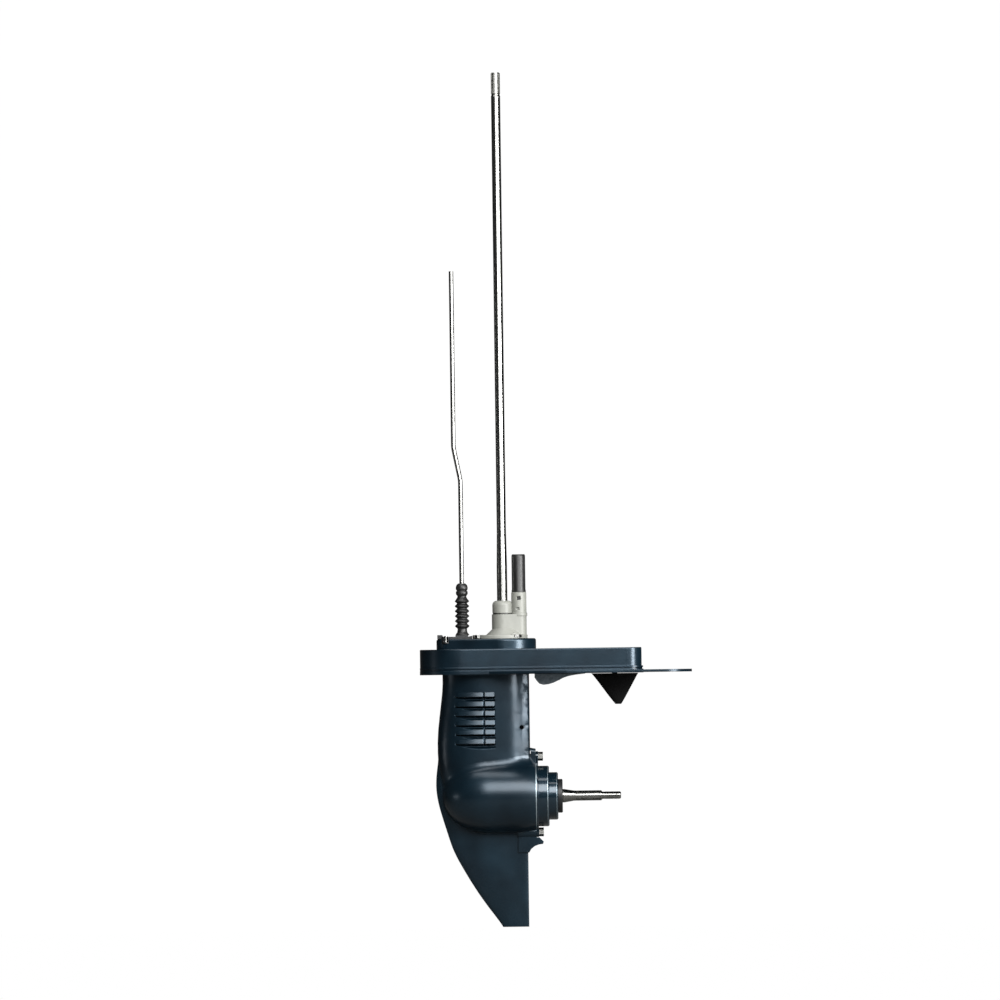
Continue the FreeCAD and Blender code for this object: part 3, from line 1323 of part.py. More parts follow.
def spring_shape():
    """The helix that pushes the plunger against the cam."""
    radius = value("propshaft_bore") - 0.9
    wire = value("spring_wire_radius")
    helix = Part.makeHelix(value("spring_pitch"), value("spring_length"), radius)
    coil = Part.Wire(helix.Edges)
    start = Part.Wire(Part.makeCircle(wire, Vector(radius, 0, 0), ACROSS))
    spring = coil.makePipeShell([start], True, True)
    spring.translate(Vector(0, 0, value("plunger_end") + 1.0))
    return lengthwise(spring)


def shift_rod_shape():
    """A bar that runs straight up from the cam, jogs forward and goes on up to its head."""
    low = Vector(-value("shift_rod_x"), 0, value("shift_rod_lift - propshaft_drop"))
    knee = Vector(-value("shift_rod_x"), 0, value("shift_jog_start"))
    elbow = Vector(-value("shift_upper_x"), 0, value("shift_jog_end"))
    top = Vector(-value("shift_upper_x"), 0, value("shift_rod_top"))
    radius = value("shift_bend_radius")
    edges = []
    start = low
    for before, corner, after in ((low, knee, elbow), (knee, elbow, top)):
        come = (corner - before).normalize()
        go = (after - corner).normalize()
        turn = come.getAngle(go)
        reach = radius * math.tan(turn / 2)
        first = corner - come * reach
        last = corner + go * reach
        bend_middle = corner + (go - come).normalize() * (radius / math.cos(turn / 2) - radius)
        edges.append(Part.makeLine(start, first))
        edges.append(Part.Arc(first, bend_middle, last).toShape())
        start = last
    edges.append(Part.makeLine(start, top))
    path = Part.Wire(edges)
    end = Part.Wire(Part.makeCircle(value("shift_rod_radius"), low, UP))
    return path.makePipeShell([end], True, True)


feature("clutch_spring", spring_shape())
feature("shift_rod", shift_rod_shape())
cam_slope = "clutch_travel / shift_travel"
cam_face = "-plunger_tip - 0.08"
cam = prism("cam_block", [
    ("-shift_rod_x - cam_front", "-cam_half_height"),
    (f"{cam_face} + {cam_slope} * cam_half_height", "-cam_half_height"),
    (f"{cam_face} - {cam_slope} * cam_half_height", "cam_half_height"),
    ("-shift_rod_x + cam_front", "cam_half_height + 4"),
    ("-shift_rod_x + cam_front", "cam_half_height + 11"),
    ("-shift_rod_x - cam_front", "cam_half_height + 11")], "cam_half_width",
    z="-propshaft_drop")
cam_bore = cylinder("cam_bore", "shift_rod_radius", "40", "-shift_rod_x",
                    z="shift_rod_lift - propshaft_drop")
cam_pin_level = "shift_rod_lift - propshaft_drop + 5"
cam_pin_hole = cylinder("cam_pin_hole", "1.2", "12", "-shift_rod_x", "-6", cam_pin_level, ACROSS)
keep(cut("cam", cam, cam_bore, cam_pin_hole), "shift_cam")

# Shift rod's seat on the deck
retainer = prism("retainer_plate", [
    ("-72", "deck_height"), ("-72", "deck_height + 4.6"), ("-66.6", "deck_height + 4.6"),
    ("-65.4", "deck_height + 2.6"), ("-52", "deck_height + 2.6"),
    ("-52", "deck_height + retainer_thickness"), ("-38", "deck_height + retainer_thickness"),
    ("-38", "deck_height + 2.6"), ("-pump_flange_front - 0.3", "deck_height + 3.4"),
    ("-pump_flange_front - 0.3", "deck_height")],
    "10.5")
retainer_ear = cylinder("retainer_ear", "retainer_step_radius - 0.1",
                        "deck_height - retainer_step + 2.5", "-retainer_bolt_x",
                        "-retainer_bolt_y", "retainer_step + 0.05")
retainer_hole = cylinder("retainer_hole", "shift_rod_radius + 0.6", "20", "-shift_rod_x",
                         z="deck_height - 2")
head_room = cylinder("retainer_head_room", "retainer_head_radius + 0.2", "20",
                     "-retainer_bolt_x", "-retainer_bolt_y", "retainer_step + 1.2")
screw_room = cylinder("retainer_screw_room", "retainer_screw_radius + 0.1", "20",
                      "-retainer_bolt_x", "-retainer_bolt_y", "retainer_step - 2")
notch = box("retainer_notch", ("-retainer_bolt_x - retainer_head_radius - 0.2",
                               "-retainer_bolt_y - 8", "retainer_step + 1.2"),
            ("-retainer_bolt_x + retainer_head_radius + 0.2", "-retainer_bolt_y",
             "deck_height + 12"))
keep(cut("retainer", joined("retainer_with_ear", retainer, retainer_ear), retainer_hole,
         head_room, screw_room, notch), "shift_rod_retainer")
retainer_head = cylinder("retainer_head", "retainer_head_radius", "retainer_head",
                         "-retainer_bolt_x", "-retainer_bolt_y", "retainer_step + 1.2")
retainer_shank = cylinder("retainer_shank", "retainer_screw_radius - 0.05", "11",
                          "-retainer_bolt_x", "-retainer_bolt_y", "retainer_step - 9.7")
socket_key = hexagon("retainer_socket", "2.5", "4", "-retainer_bolt_x", "-retainer_bolt_y",
                     "retainer_step + 5.2")
keep(cut("retainer_socket_screw", joined("retainer_screw", retainer_head, retainer_shank),
         socket_key), "retainer_bolt")
keep(turned("rod_seal", [("deck_height - 3.9", "shift_rod_radius + running_clearance"),
                         ("deck_height - 3.9", "rod_seal_radius - 0.05"),
                         ("deck_height - 0.1", "rod_seal_radius - 0.05"),
                         ("deck_height - 0.1", "shift_rod_radius + running_clearance")],
            x="-shift_rod_x"), "shift_rod_o_ring")

boot_rings = [53.5, 48.0, 42.0, 36.3, 31.0, 26.0]
rod_gap = "shift_rod_radius + 0.05"
boot_foot = "deck_height + retainer_thickness"
boot_corners = [(boot_foot, "4.2"), (boot_foot, "7.2"), (f"{boot_foot} + 2", "5.9"),
                (f"{boot_foot} + 7", "boot_neck")]
for level in reversed(boot_rings):
    boot_corners += [(f"{level - 1.9}", "boot_neck"), (f"{level - 0.8}", "boot_outer"),
                     (f"{level + 0.8}", "boot_outer"), (f"{level + 1.9}", "boot_neck")]
boot_corners += [("58.2", "5.3"), ("60", "6.6"), ("63", "6.6"), ("64.2", "5.6"), ("65.6", "6.6"),
                 ("68.6", "6.6"), ("boot_top - 0.6", "4.2"), ("boot_top", "3.4"),
                 ("boot_top", rod_gap), ("60", rod_gap), ("57", "4.2")]
keep(turned("boot", boot_corners, x="-shift_rod_x"), "shift_rod_boot")

# Water pump
deck = "deck_height"
pump_floor = "-pump_floor"
gasket_top = "-pump_floor + gasket_thickness"
plate_top = "-pump_floor + gasket_thickness + wear_plate"
cup_outer = "cup_inner_radius + cup_wall"
water_port = cylinder("water_port", "water_port_radius", "30", "-water_port_x", z="-15")
gasket = ring("gasket_ring", "11.2", f"{cup_outer} + cup_offset", pump_floor, gasket_top)
keep(cut("gasket", gasket, water_port), "pump_gasket")
water_port_two = cylinder("water_port_two", "water_port_radius", "30", "-water_port_x", z="-15")
wear = ring("wear_ring", "lower_shaft_radius + 0.5", f"{cup_outer} + cup_offset", gasket_top,
            plate_top)
keep(cut("wear_plate", wear, water_port_two), "pump_wear_plate")
cup = turned("cup_shell", [
    (plate_top, "cup_inner_radius"), (plate_top, cup_outer), (deck, cup_outer),
    (deck, "0"), (f"{deck} - cup_wall", "0"),
    (f"{deck} - cup_wall", "cup_inner_radius")], y="cup_offset")
cup_port = cylinder("cup_port", "3.6", "6", "tube_x - 5.5", z="deck_height - 3")
cup_eye = cylinder("cup_eye", "lower_shaft_radius + 0.6", "6", z="deck_height - 3")
keep(cut("cup", cup, cup_port, cup_eye), "impeller_cup")


def stadium(x_end, radius_start, radius_end, height):
    """The tangent outline round a circle at the origin and a smaller one at x_end."""
    lean = math.acos((radius_start - radius_end) / x_end)
    points = []
    for centre, radius in ((0.0, radius_start), (x_end, radius_end)):
        for side in (1, -1):
            points.append(Vector(centre + radius * math.cos(lean), side * radius * math.sin(lean),
                                 height))
    bow = Part.Arc(points[0], Vector(-radius_start, 0, height), points[1]).toShape()
    stern = Part.Arc(points[2], Vector(x_end + radius_end, 0, height), points[3]).toShape()
    return Part.Wire(Part.__sortEdges__([bow, stern, Part.makeLine(points[0], points[2]),
                                         Part.makeLine(points[1], points[3])]))


def pump_housing_shape():
    """Flange, shoulder, body, the shaft's snout and the water tube's socket, as one moulding."""
    low = value("deck_height")
    flange_top = value("pump_flange_top")
    shoulder = value("pump_shoulder_top")
    top = value("pump_body_top")
    body_radius = value("pump_body_radius")
    tube = value("tube_x")
    socket = value("socket_radius")
    broad = value("pump_flange_radius")
    narrow = value("pump_flange_nose")
    flange = raised(hull_wire(value("pump_flange_aft") - broad, broad,
                              narrow - value("pump_flange_front"), narrow, low), flange_top - low)
    flange = flange.makeFillet(0.8, [edge for edge in flange.Edges
                                     if edge.BoundBox.ZMin > flange_top - 0.1])
    foot = Part.Wire(Part.makeCircle(body_radius + 9.0, Vector(2, 0, flange_top - 0.5), UP))
    crown = Part.Wire(Part.makeCircle(body_radius + 0.5, Vector(2, 0, shoulder), UP))
    shape = flange.fuse(Part.makeLoft([foot, crown], True, True))
    shape = shape.fuse(raised(stadium(tube, body_radius, socket, flange_top - 1),
                              top - flange_top + 1))
    snout_radius = value("snout_radius")
    snout_top = value("snout_top")
    bend = value("snout_round")
    shape = shape.fuse(revolve_profile([
        (0, top - 2), (snout_radius - 0.7, top - 2), (snout_radius - 0.7, top + 1.1),
        (snout_radius, top + 1.5), (snout_radius, snout_top - bend),
        (snout_radius - 0.09 * bend, snout_top - 0.6 * bend),
        (snout_radius - 0.29 * bend, snout_top - 0.29 * bend),
        (snout_radius - 0.6 * bend, snout_top - 0.09 * bend), (snout_radius - bend, snout_top),
        (0, snout_top)]))
    column = revolve_profile([
        (0, top - 2), (socket + 0.8, top - 2), (socket + 0.8, top + 1.2), (socket, top + 1.6),
        (socket, value("socket_top") - 0.6), (socket - 0.6, value("socket_top")),
        (0, value("socket_top"))])
    column.translate(Vector(tube, 0, 0))
    shape = shape.fuse(column)
    shape = shape.fuse(Part.makeBox(tube - 9, 7, 8, Vector(8, -3.5, top - 1), UP))
    ceiling = Vector(0, 0, 80)
    seat = Vector(tube, 0, value("socket_floor"))
    port = value("water_port_radius")
    nub = value("socket_slot")
    tools = [rod(value("snout_bore"), Vector(0, 0, low - 1), ceiling),
             rod(value("water_duct_radius"), Vector(tube, 0, low + 4), Vector(tube, 0, 80)),
             rod(value("tube_bore") + 1.4, seat, Vector(tube, 0, 80)),
             rod(port, Vector(tube - 5.5, 0, low - 1), Vector(tube - 5.5, 0, low + 8)),
             Part.makeBox(nub, 4, nub, Vector(tube - nub / 2, -socket - 1, 53.6), UP),
             Part.makeBox(nub - 0.6, 3, 3, Vector(tube - nub / 2 - 1, -socket - 1, 42.4), UP)]
    for x, y in pump_bolt_places():
        base = Vector(x, y, low - 1)
        tools.append(rod(value("pump_bolt_radius") + 0.2, base, base + Vector(0, 0, 30)))
        pocket = Vector(x, y, value("pump_pocket_floor"))
        tools.append(rod(value("pump_pocket_radius"), pocket, pocket + Vector(0, 0, 5)))
    for tool in tools:
        shape = shape.cut(tool)
    return shape.removeSplitter()


feature("pump_housing", pump_housing_shape())
pump_bolts = []
for end, sign, x_name in (("aft", "", "pump_bolt_aft"), ("front", "-", "pump_bolt_front")):
    for flank, side in (("port", "-"), ("starboard", "")):
        across = f"{sign}{x_name}"
        aside = f"{side}{x_name}_y"
        head = hexagon(f"{end}_{flank}_head", "pump_bolt_flats", "pump_bolt_head", across, aside,
                       "pump_pocket_floor")
        shank = cylinder(f"{end}_{flank}_shank", "pump_bolt_radius - 0.05", "pump_bolt_depth",
                         across, aside, "pump_pocket_floor - pump_bolt_depth")
        pump_bolts.append(joined(f"{end}_{flank}_bolt", head, shank))
keep(grouped("pump_bolt_set", pump_bolts), "pump_housing_bolts")
keep(turned("tube_seal", [
    ("socket_floor", "tube_bore"), ("socket_floor", "tube_bore + 1.35"),
    ("socket_top", "tube_bore + 1.35"), ("socket_top", "tube_seal_radius + 0.4"),
    ("socket_top + 2", "tube_seal_radius"), ("tube_seal_top - 0.8", "tube_seal_radius"),
    ("tube_seal_top", "tube_seal_radius - 0.8"), ("tube_seal_top", "tube_bore")], x="tube_x"),
    "water_tube_seal")

# Oil plugs, on the starboard side
screws = (("oil_drain_plug", "drain_gasket"), ("oil_level_plug", "level_gasket"))
for (plug_node, gasket_node), seat in zip(screws, oil_plug_places()):
    thick = Vector(0, value("plug_gasket"), 0)
    washer = rod(value("plug_head_radius") - 0.4, seat, seat + thick)
    washer = washer.cut(rod(value("plug_radius"), seat - Vector(0, 1, 0), seat + Vector(0, 2, 0)))
    feature(gasket_node, washer)
    head = rod(value("plug_head_radius"), seat + thick, seat + Vector(0, 4.4, 0))
    shank = rod(value("plug_radius") - 0.05, seat - Vector(0, 9, 0), seat + Vector(0, 1, 0))
    slot = Part.makeBox(14, 3, 1.6, seat + Vector(-7, 2.9, -0.8))
    feature(plug_node, head.fuse(shank).cut(slot))

doc.recompute()
for item in doc.Objects:
    if "Invalid" in item.State or "Error" in item.State:
        raise RuntimeError(f"{item.Label} failed")
labels = [solid.Label for solid in NODES]
if len(set(labels)) != len(labels):
    raise RuntimeError("two pieces share a name")
for solid in NODES:
    shape = solid.Shape
    if shape.isNull() or not shape.isValid():
        raise RuntimeError(f"{solid.Label} has no sound shape")
for solid in NODES:
    shape = solid.Shape
    shape.exportStep(os.path.join("parts", f"{solid.Label}.step"))
    print(f"{solid.Label}: {len(shape.Solids)} solids, {len(shape.Faces)} faces, "
          f"{shape.Volume:.0f} cubic mm")
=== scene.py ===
import json
import math

import bmesh
import bpy
import numpy as np
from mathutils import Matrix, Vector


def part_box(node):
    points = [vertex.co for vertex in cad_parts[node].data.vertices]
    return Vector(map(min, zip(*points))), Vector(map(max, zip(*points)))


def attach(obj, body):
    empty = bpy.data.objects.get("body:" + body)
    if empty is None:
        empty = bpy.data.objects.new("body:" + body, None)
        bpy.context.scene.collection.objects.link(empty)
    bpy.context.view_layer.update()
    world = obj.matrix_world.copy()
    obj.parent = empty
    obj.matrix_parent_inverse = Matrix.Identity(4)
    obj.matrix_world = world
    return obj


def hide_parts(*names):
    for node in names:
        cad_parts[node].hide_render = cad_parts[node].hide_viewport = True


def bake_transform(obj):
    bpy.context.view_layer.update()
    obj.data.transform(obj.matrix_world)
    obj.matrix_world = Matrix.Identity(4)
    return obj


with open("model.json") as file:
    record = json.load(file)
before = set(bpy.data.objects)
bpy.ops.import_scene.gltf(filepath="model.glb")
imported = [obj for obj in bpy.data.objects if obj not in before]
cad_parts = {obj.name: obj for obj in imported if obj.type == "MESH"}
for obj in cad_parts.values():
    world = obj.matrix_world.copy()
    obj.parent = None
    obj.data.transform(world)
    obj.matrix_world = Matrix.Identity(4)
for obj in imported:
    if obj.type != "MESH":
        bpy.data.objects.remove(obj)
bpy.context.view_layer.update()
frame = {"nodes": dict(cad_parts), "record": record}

NODES = frame["nodes"]
MM = 0.001
STEEL = ("#8b8b88", "#a9a9a6")

bl_info = {
    "name": "Outboard lower unit dressing",
    "version": (1, 0, 0),
    "blender": (4, 5, 0),
    "location": "View3D > Sidebar > Lower unit",
    "description": "Dresses a packed lower unit with cast, turned and moulded finishes",
    "category": "Object",
}


def axis_of(node):
    """The middle of a node's box in X and Y, in metres: the axis of an upright turned piece."""
    low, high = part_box(node)
    return (low.x + high.x) / 2, (low.y + high.y) / 2


def linear(hex_colour):
    """An sRGB hex colour as linear RGBA."""
    parts = np.array([int(hex_colour[at:at + 2], 16) for at in (1, 3, 5)]) / 255
    curve = np.where(parts <= 0.04045, parts / 12.92, ((parts + 0.055) / 1.055) ** 2.4)
    return (*curve.tolist(), 1.0)


def add_node(tree, kind, links=(), **settings):
    """One shader node: settings by socket or property name, links as (input, output socket)."""
    node = tree.nodes.new(kind)
    for name, content in settings.items():
        if hasattr(node, name):
            setattr(node, name, content)
    for name, content in settings.items():
        label = name.replace("_", " ")
        socket = next((item for item in node.inputs
                       if item.name.lower() == label.lower() and item.enabled), None)
        if not hasattr(node, name) and socket is not None:
            socket.default_value = content
    for target, source in links:
        tree.links.new(source, node.inputs[target])
    return node


def new_material(name):
    """An empty node material with its shader and object coordinates."""
    material = bpy.data.materials.new(name)
    material.use_nodes = True
    tree = material.node_tree
    tree.nodes.clear()
    shader = tree.nodes.new("ShaderNodeBsdfPrincipled")
    output = tree.nodes.new("ShaderNodeOutputMaterial")
    tree.links.new(shader.outputs["BSDF"], output.inputs["Surface"])
    where = tree.nodes.new("ShaderNodeTexCoord").outputs["Object"]
    return material, tree, shader, where


def noise(tree, where, size_mm, detail=3.0, stretch=(1, 1, 1)):
    """Noise whose grains are about size_mm across, drawn out by stretch along each axis."""
    scale = [1 / part for part in stretch]
    mapping = add_node(tree, "ShaderNodeMapping", [("Vector", where)], Scale=scale)
    return add_node(tree, "ShaderNodeTexNoise", [("Vector", mapping.outputs["Vector"])],
                    Scale=1 / (size_mm * MM), Detail=detail, Roughness=0.55).outputs["Fac"]


def blend_colours(tree, factor, low, high, start=0.35, end=0.65):
    """A colour between two hex colours, ramped over part of a factor's range."""
    ramp = add_node(tree, "ShaderNodeValToRGB", [("Fac", factor)])
    ramp.color_ramp.elements[0].position = start
    ramp.color_ramp.elements[1].position = end
    ramp.color_ramp.elements[0].color = linear(low)
    ramp.color_ramp.elements[1].color = linear(high)
    return ramp.outputs["Color"]


def roughness_range(tree, shader, factor, low, high):
    span = add_node(tree, "ShaderNodeMapRange", [("Value", factor)], To_Min=low, To_Max=high)
    tree.links.new(span.outputs["Result"], shader.inputs["Roughness"])


def surface_relief(tree, shader, height, depth_mm, edge_mm=0.0):
    """Fine bumps over edges that are rounded off by edge_mm."""
    bump = add_node(tree, "ShaderNodeBump", [("Height", height)], Strength=1.0,
                    Distance=depth_mm * MM)
    if edge_mm:
        soft = add_node(tree, "ShaderNodeBevel", samples=6, Radius=edge_mm * MM)
        tree.links.new(soft.outputs["Normal"], bump.inputs["Normal"])
    tree.links.new(bump.outputs["Normal"], shader.inputs["Normal"])


def cast_paint(name, colours, roughness, coat, coat_roughness):
    """Metallic polyester paint sprayed on a sand-smooth aluminium casting.

    Fine flakes give it a cool sheen, a clear coat gives broad soft highlights, and the
    casting under it leaves a faint orange peel.
    """
    material, tree, shader, where = new_material(name)
    drift = noise(tree, where, 55, 2)
    flakes = noise(tree, where, 0.7, 1)
    tone = blend_colours(tree, drift, colours.paint_dark, colours.paint_light, 0.3, 0.75)
    glint = blend_colours(tree, flakes, "#7f7f7f", "#c4c8cc", 0.5, 0.78)
    mixed = add_node(tree, "ShaderNodeMix", data_type="RGBA", blend_type="SOFT_LIGHT")
    mixed.inputs[0].default_value = 0.35
    tree.links.new(tone, mixed.inputs[6])
    tree.links.new(glint, mixed.inputs[7])
    tree.links.new(mixed.outputs[2], shader.inputs["Base Color"])
    shader.inputs["Metallic"].default_value = 0.6
    shader.inputs["Coat Weight"].default_value = coat
    shader.inputs["Coat Roughness"].default_value = coat_roughness
    roughness_range(tree, shader, noise(tree, where, 14, 3), roughness, roughness + 0.1)
    surface_relief(tree, shader, noise(tree, where, 2.6, 3), 0.05, 1.3)
    return material


def turned_steel(name, hex_dark, hex_light, along, roughness=0.24, painted_shade_below=None):
    """Stainless bar, turned and polished.

    The fine rings that turning leaves round its axis draw every reflection out along it. Below
    a given height in mm the bar is painted nearly black, with its metal and specular shine
    turned off: painted shade where it runs inside the casting.
    """
    material, tree, shader, where = new_material(name)
    stretch = [14, 14, 14]
    stretch["xyz".index(along)] = 0.25
    rings = noise(tree, where, 1.6, 2, stretch)
    tone = blend_colours(tree, rings, hex_dark, hex_light)
    # Painted shade: below this height the colour goes to near black and the metal and specular shine
    # go to nothing.
    if painted_shade_below is not None:
        split = add_node(tree, "ShaderNodeSeparateXYZ", [("Vector", where)])
        level = add_node(tree, "ShaderNodeMapRange", [("Value", split.outputs["Z"])],
                         From_Min=(painted_shade_below - 4) * MM, From_Max=painted_shade_below * MM)
        painted_shade = add_node(tree, "ShaderNodeMix", data_type="RGBA")
        painted_shade.inputs[6].default_value = linear("#0b0a09")
        tree.links.new(level.outputs["Result"], painted_shade.inputs[0])
        tree.links.new(tone, painted_shade.inputs[7])
        tone = painted_shade.outputs[2]
        tree.links.new(level.outputs["Result"], shader.inputs["Metallic"])
        tree.links.new(level.outputs["Result"], shader.inputs["Specular IOR Level"])
    tree.links.new(tone, shader.inputs["Base Color"])
    shader.inputs["Metallic"].default_value = 1.0
    shader.inputs["Anisotropic"].default_value = 0.9
    shader.inputs["Anisotropic Rotation"].default_value = 0.25
    add_node(tree, "ShaderNodeTangent", direction_type="RADIAL", axis=along.upper())
    tree.links.new(tree.nodes[-1].outputs["Tangent"], shader.inputs["Tangent"])
    roughness_range(tree, shader, rings, roughness, roughness * 1.06)
    return material


def moulded_rubber(colours):
    """Black nitrile rubber, moulded: matt with a grey bloom in patches."""
    material, tree, shader, where = new_material("black moulded nitrile rubber")
    bloom = noise(tree, where, 9, 4)
    tree.links.new(blend_colours(tree, bloom, colours.rubber, "#2a2a29", 0.45, 0.95),
                   shader.inputs["Base Color"])
    shader.inputs["IOR"].default_value = 1.52
    roughness_range(tree, shader, bloom, 0.34, 0.5)
    surface_relief(tree, shader, noise(tree, where, 0.8, 3), 0.03, 0.4)
    return material


def moulded_plastic(name, dark, light, roughness, edge_mm=0.5):
    """Glass-filled nylon, injection moulded: even colour, faint flow marks, soft edges."""
    material, tree, shader, where = new_material(name)
    flow = noise(tree, where, 12, 4, (1, 1, 2.2))
    tree.links.new(blend_colours(tree, flow, dark, light, 0.3, 0.8), shader.inputs["Base Color"])
    shader.inputs["IOR"].default_value = 1.5
    roughness_range(tree, shader, flow, roughness, roughness + 0.12)
    surface_relief(tree, shader, noise(tree, where, 0.9, 3), 0.03, edge_mm)
    return material


def rough_metal(name, dark, light, metallic, roughness, grain_mm, edge_mm=0.5):
    """Cast or ground metal with a visible grain."""
    material, tree, shader, where = new_material(name)
    grain = noise(tree, where, grain_mm, 5)
    tree.links.new(blend_colours(tree, grain, dark, light, 0.3, 0.7), shader.inputs["Base Color"])
    shader.inputs["Metallic"].default_value = metallic
    roughness_range(tree, shader, grain, roughness, roughness + 0.15)
    surface_relief(tree, shader, grain, 0.06, edge_mm)
    return material


def mesh_piece(name, points, faces, material, body):
    """A finished piece from whole arrays of points and faces."""
    mesh = bpy.data.meshes.new(name)
    mesh.from_pydata(points.tolist(), [], faces.tolist())
    mesh.materials.append(material)
    mesh.shade_smooth()
    mesh.update()
    piece = bpy.data.objects.new(name, mesh)
    bpy.context.scene.collection.objects.link(piece)
    if body is not None:
        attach(piece, body)
    return piece


def grid_faces(rows, columns):
    """Quads of a grid of rows by columns points that closes on itself across the columns."""
    row, column = np.meshgrid(np.arange(rows - 1), np.arange(columns), indexing="ij")
    after = (column + 1) % columns
    corners = [row * columns + column, row * columns + after,
               (row + 1) * columns + after, (row + 1) * columns + column]
    return np.stack(corners, axis=-1).reshape(-1, 4)


def turned_points(profile, columns, radius_of=None):
    """Points of a profile of (radius, height) turned about Z.

    Point (i, j) is (r cos a, r sin a, z) with r and z from the profile's row i and a = 2 pi j
    over the number of columns; radius_of may change r by (r, a, row).
    """
    profile = np.asarray(profile, float)
    angle = np.linspace(0, 2 * math.pi, columns, endpoint=False)
    radius = profile[:, :1] * np.ones((1, columns))
    if radius_of is not None:
        radius = radius_of(radius, angle[None, :], np.arange(len(profile))[:, None])
    height = profile[:, 1:] * np.ones((1, columns))
    return np.stack([radius * np.cos(angle), radius * np.sin(angle), height], axis=-1)


def smooth_profile(knots, steps):
    """Catmull-Rom points through the (radius, height) knots, steps per span."""
    knots = np.asarray(knots, float)
    padded = np.vstack([2 * knots[0] - knots[1], knots, 2 * knots[-1] - knots[-2]])
    share = np.linspace(0, 1, steps, endpoint=False)[None, :, None]
    a, b, c, d = (padded[at:at + len(knots) - 1, None, :] for at in range(4))
    curve = 0.5 * (2 * b + (c - a) * share + (2 * a - 5 * b + 4 * c - d) * share ** 2
                   + (3 * b - a - 3 * c + d) * share ** 3)
    return np.vstack([curve.reshape(-1, 2), knots[-1:]])


class FinishColours(bpy.types.PropertyGroup):
    """Colours of the main finishes, as sRGB hex values."""
    paint_dark: bpy.props.StringProperty(
        name="Paint, dark", description="Metallic paint where it turns from the light",
        default="#0a1f2b")
    paint_light: bpy.props.StringProperty(
        name="Paint, light", description="Metallic paint where it catches the light",
        default="#1a3341")
    rubber: bpy.props.StringProperty(
        name="Rubber", description="Boot and tube seal", default="#141414")
    housing: bpy.props.StringProperty(
        name="Pump housing", description="Light moulded plastic", default="#8e8f88")


class BootSizes(bpy.types.PropertyGroup):
    """Sizes of the shift rod's rubber boot."""
    ring_radius: bpy.props.FloatProperty(
        name="Ring radius", description="Outer radius of the bellows rings",
        default=7.9 * MM, unit="LENGTH", subtype="DISTANCE")
    neck_radius: bpy.props.FloatProperty(
        name="Neck radius", description="Radius between the rings",
        default=5.5 * MM, unit="LENGTH", subtype="DISTANCE")
    ring_count: bpy.props.IntProperty(
        name="Rings", description="Number of bellows rings", default=6, min=2, max=12)


class LouvreSizes(bpy.types.PropertyGroup):
    """Sizes of the hoods over the leg's water louvres."""
    reach: bpy.props.FloatProperty(
        name="Reach", description="How far a hood's lip stands off the cheek",
        default=1.5 * MM, unit="LENGTH", subtype="DISTANCE")
    lip: bpy.props.FloatProperty(
        name="Lip height", description="Height of the lip over its slot's middle",
        default=1.5 * MM, unit="LENGTH", subtype="DISTANCE")
    top: bpy.props.FloatProperty(
        name="Hood height", description="From the lip up to where the hood meets the cheek",
        default=5.6 * MM, unit="LENGTH", subtype="DISTANCE")


class LightSettings(bpy.types.PropertyGroup):
    """Studio light, as the brightness of each lit surface."""
    panel: bpy.props.FloatProperty(name="Front panel", description="Wide panel above the deck",
                                   default=9.0, min=0.0)
    key: bpy.props.FloatProperty(name="Key softbox", description="Softbox aft of the camera",
                                 default=26.0, min=0.0)
    nose: bpy.props.FloatProperty(name="Nose softbox", description="Small light ahead of the nose",
                                  default=3.0, min=0.0)
    top: bpy.props.FloatProperty(name="Top softbox", description="Softbox overhead",
                                 default=4.0, min=0.0)
    room: bpy.props.FloatProperty(name="Room", description="Light from everywhere else",
                                  default=0.05, min=0.0, max=2.0)


class DRESS_OT_finishes(bpy.types.Operator):
    """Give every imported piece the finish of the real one"""
    bl_idname = "lower_unit.finishes"
    bl_label = "Finishes"

    def execute(self, context):
        colours = context.scene.finish_colours
        upright = turned_steel("polished stainless steel, upright bar", *STEEL, "z")
        level = turned_steel("polished stainless steel, level bar", *STEEL, "x")
        finishes = {
            "cast_paint": cast_paint("slate blue metallic paint on cast aluminium", colours,
                                     0.27, 0.4, 0.24),
            "zinc": rough_metal("painted zinc anode", "#5d676f", "#7f8a92", 0.4, 0.4, 3.0, 1.0),
            "stainless": upright,
            "gear_steel": rough_metal("ground gear steel", "#6d6d6c", "#a5a5a2", 1.0, 0.24, 1.2),
            "bronze": rough_metal("bearing bronze", "#8a6332", "#b98c4c", 1.0, 0.28, 1.5),
            "rubber": moulded_rubber(colours),
            "gasket": moulded_plastic("pressed fibre gasket", "#474b46", "#5b605a", 0.75, 0.1),
            "pump_plastic": moulded_plastic("light glass-filled nylon", "#80817b",
                                            colours.housing, 0.38, 0.9),
            "black_plastic": moulded_plastic("black moulded nylon", "#101113", "#1c1e20", 0.4),
            "tab_paint": rough_metal("black painted alloy", "#020202", "#040405", 0.0, 0.7, 2.5, 0.8),
        }
        glossy = cast_paint("slate blue paint over a turned casting", colours, 0.2, 0.8, 0.12)
        slots = {item["node"]: item["material_slot"] for item in frame["record"]["subparts"]}
        for name, node in NODES.items():
            finish = finishes[slots[name]]
            if slots[name] == "stainless" and name in ("propeller_shaft", "carrier_bolts"):
                finish = level
            if name == "bearing_carrier":
                finish = glossy
            # Painted shade: the shift rod is nearly black below the deck, where it runs inside the
            # casting.
            if name == "shift_rod":
                finish = turned_steel("stainless rod, oiled below the deck", *STEEL, "z",
                                      painted_shade_below=4.0)
            node.data.materials.clear()
            node.data.materials.append(finish)
        for name, material in finishes.items():
            material["slot"] = name
        matt = finishes["tab_paint"].node_tree.nodes["Principled BSDF"]
        matt.inputs["Specular IOR Level"].default_value = 0.15
        context.scene["level_steel"] = level.name
        return {"FINISHED"}


def finish_of(slot):
    """The material that the first operator made for a slot."""
    return next(item for item in bpy.data.materials if item.get("slot") == slot)


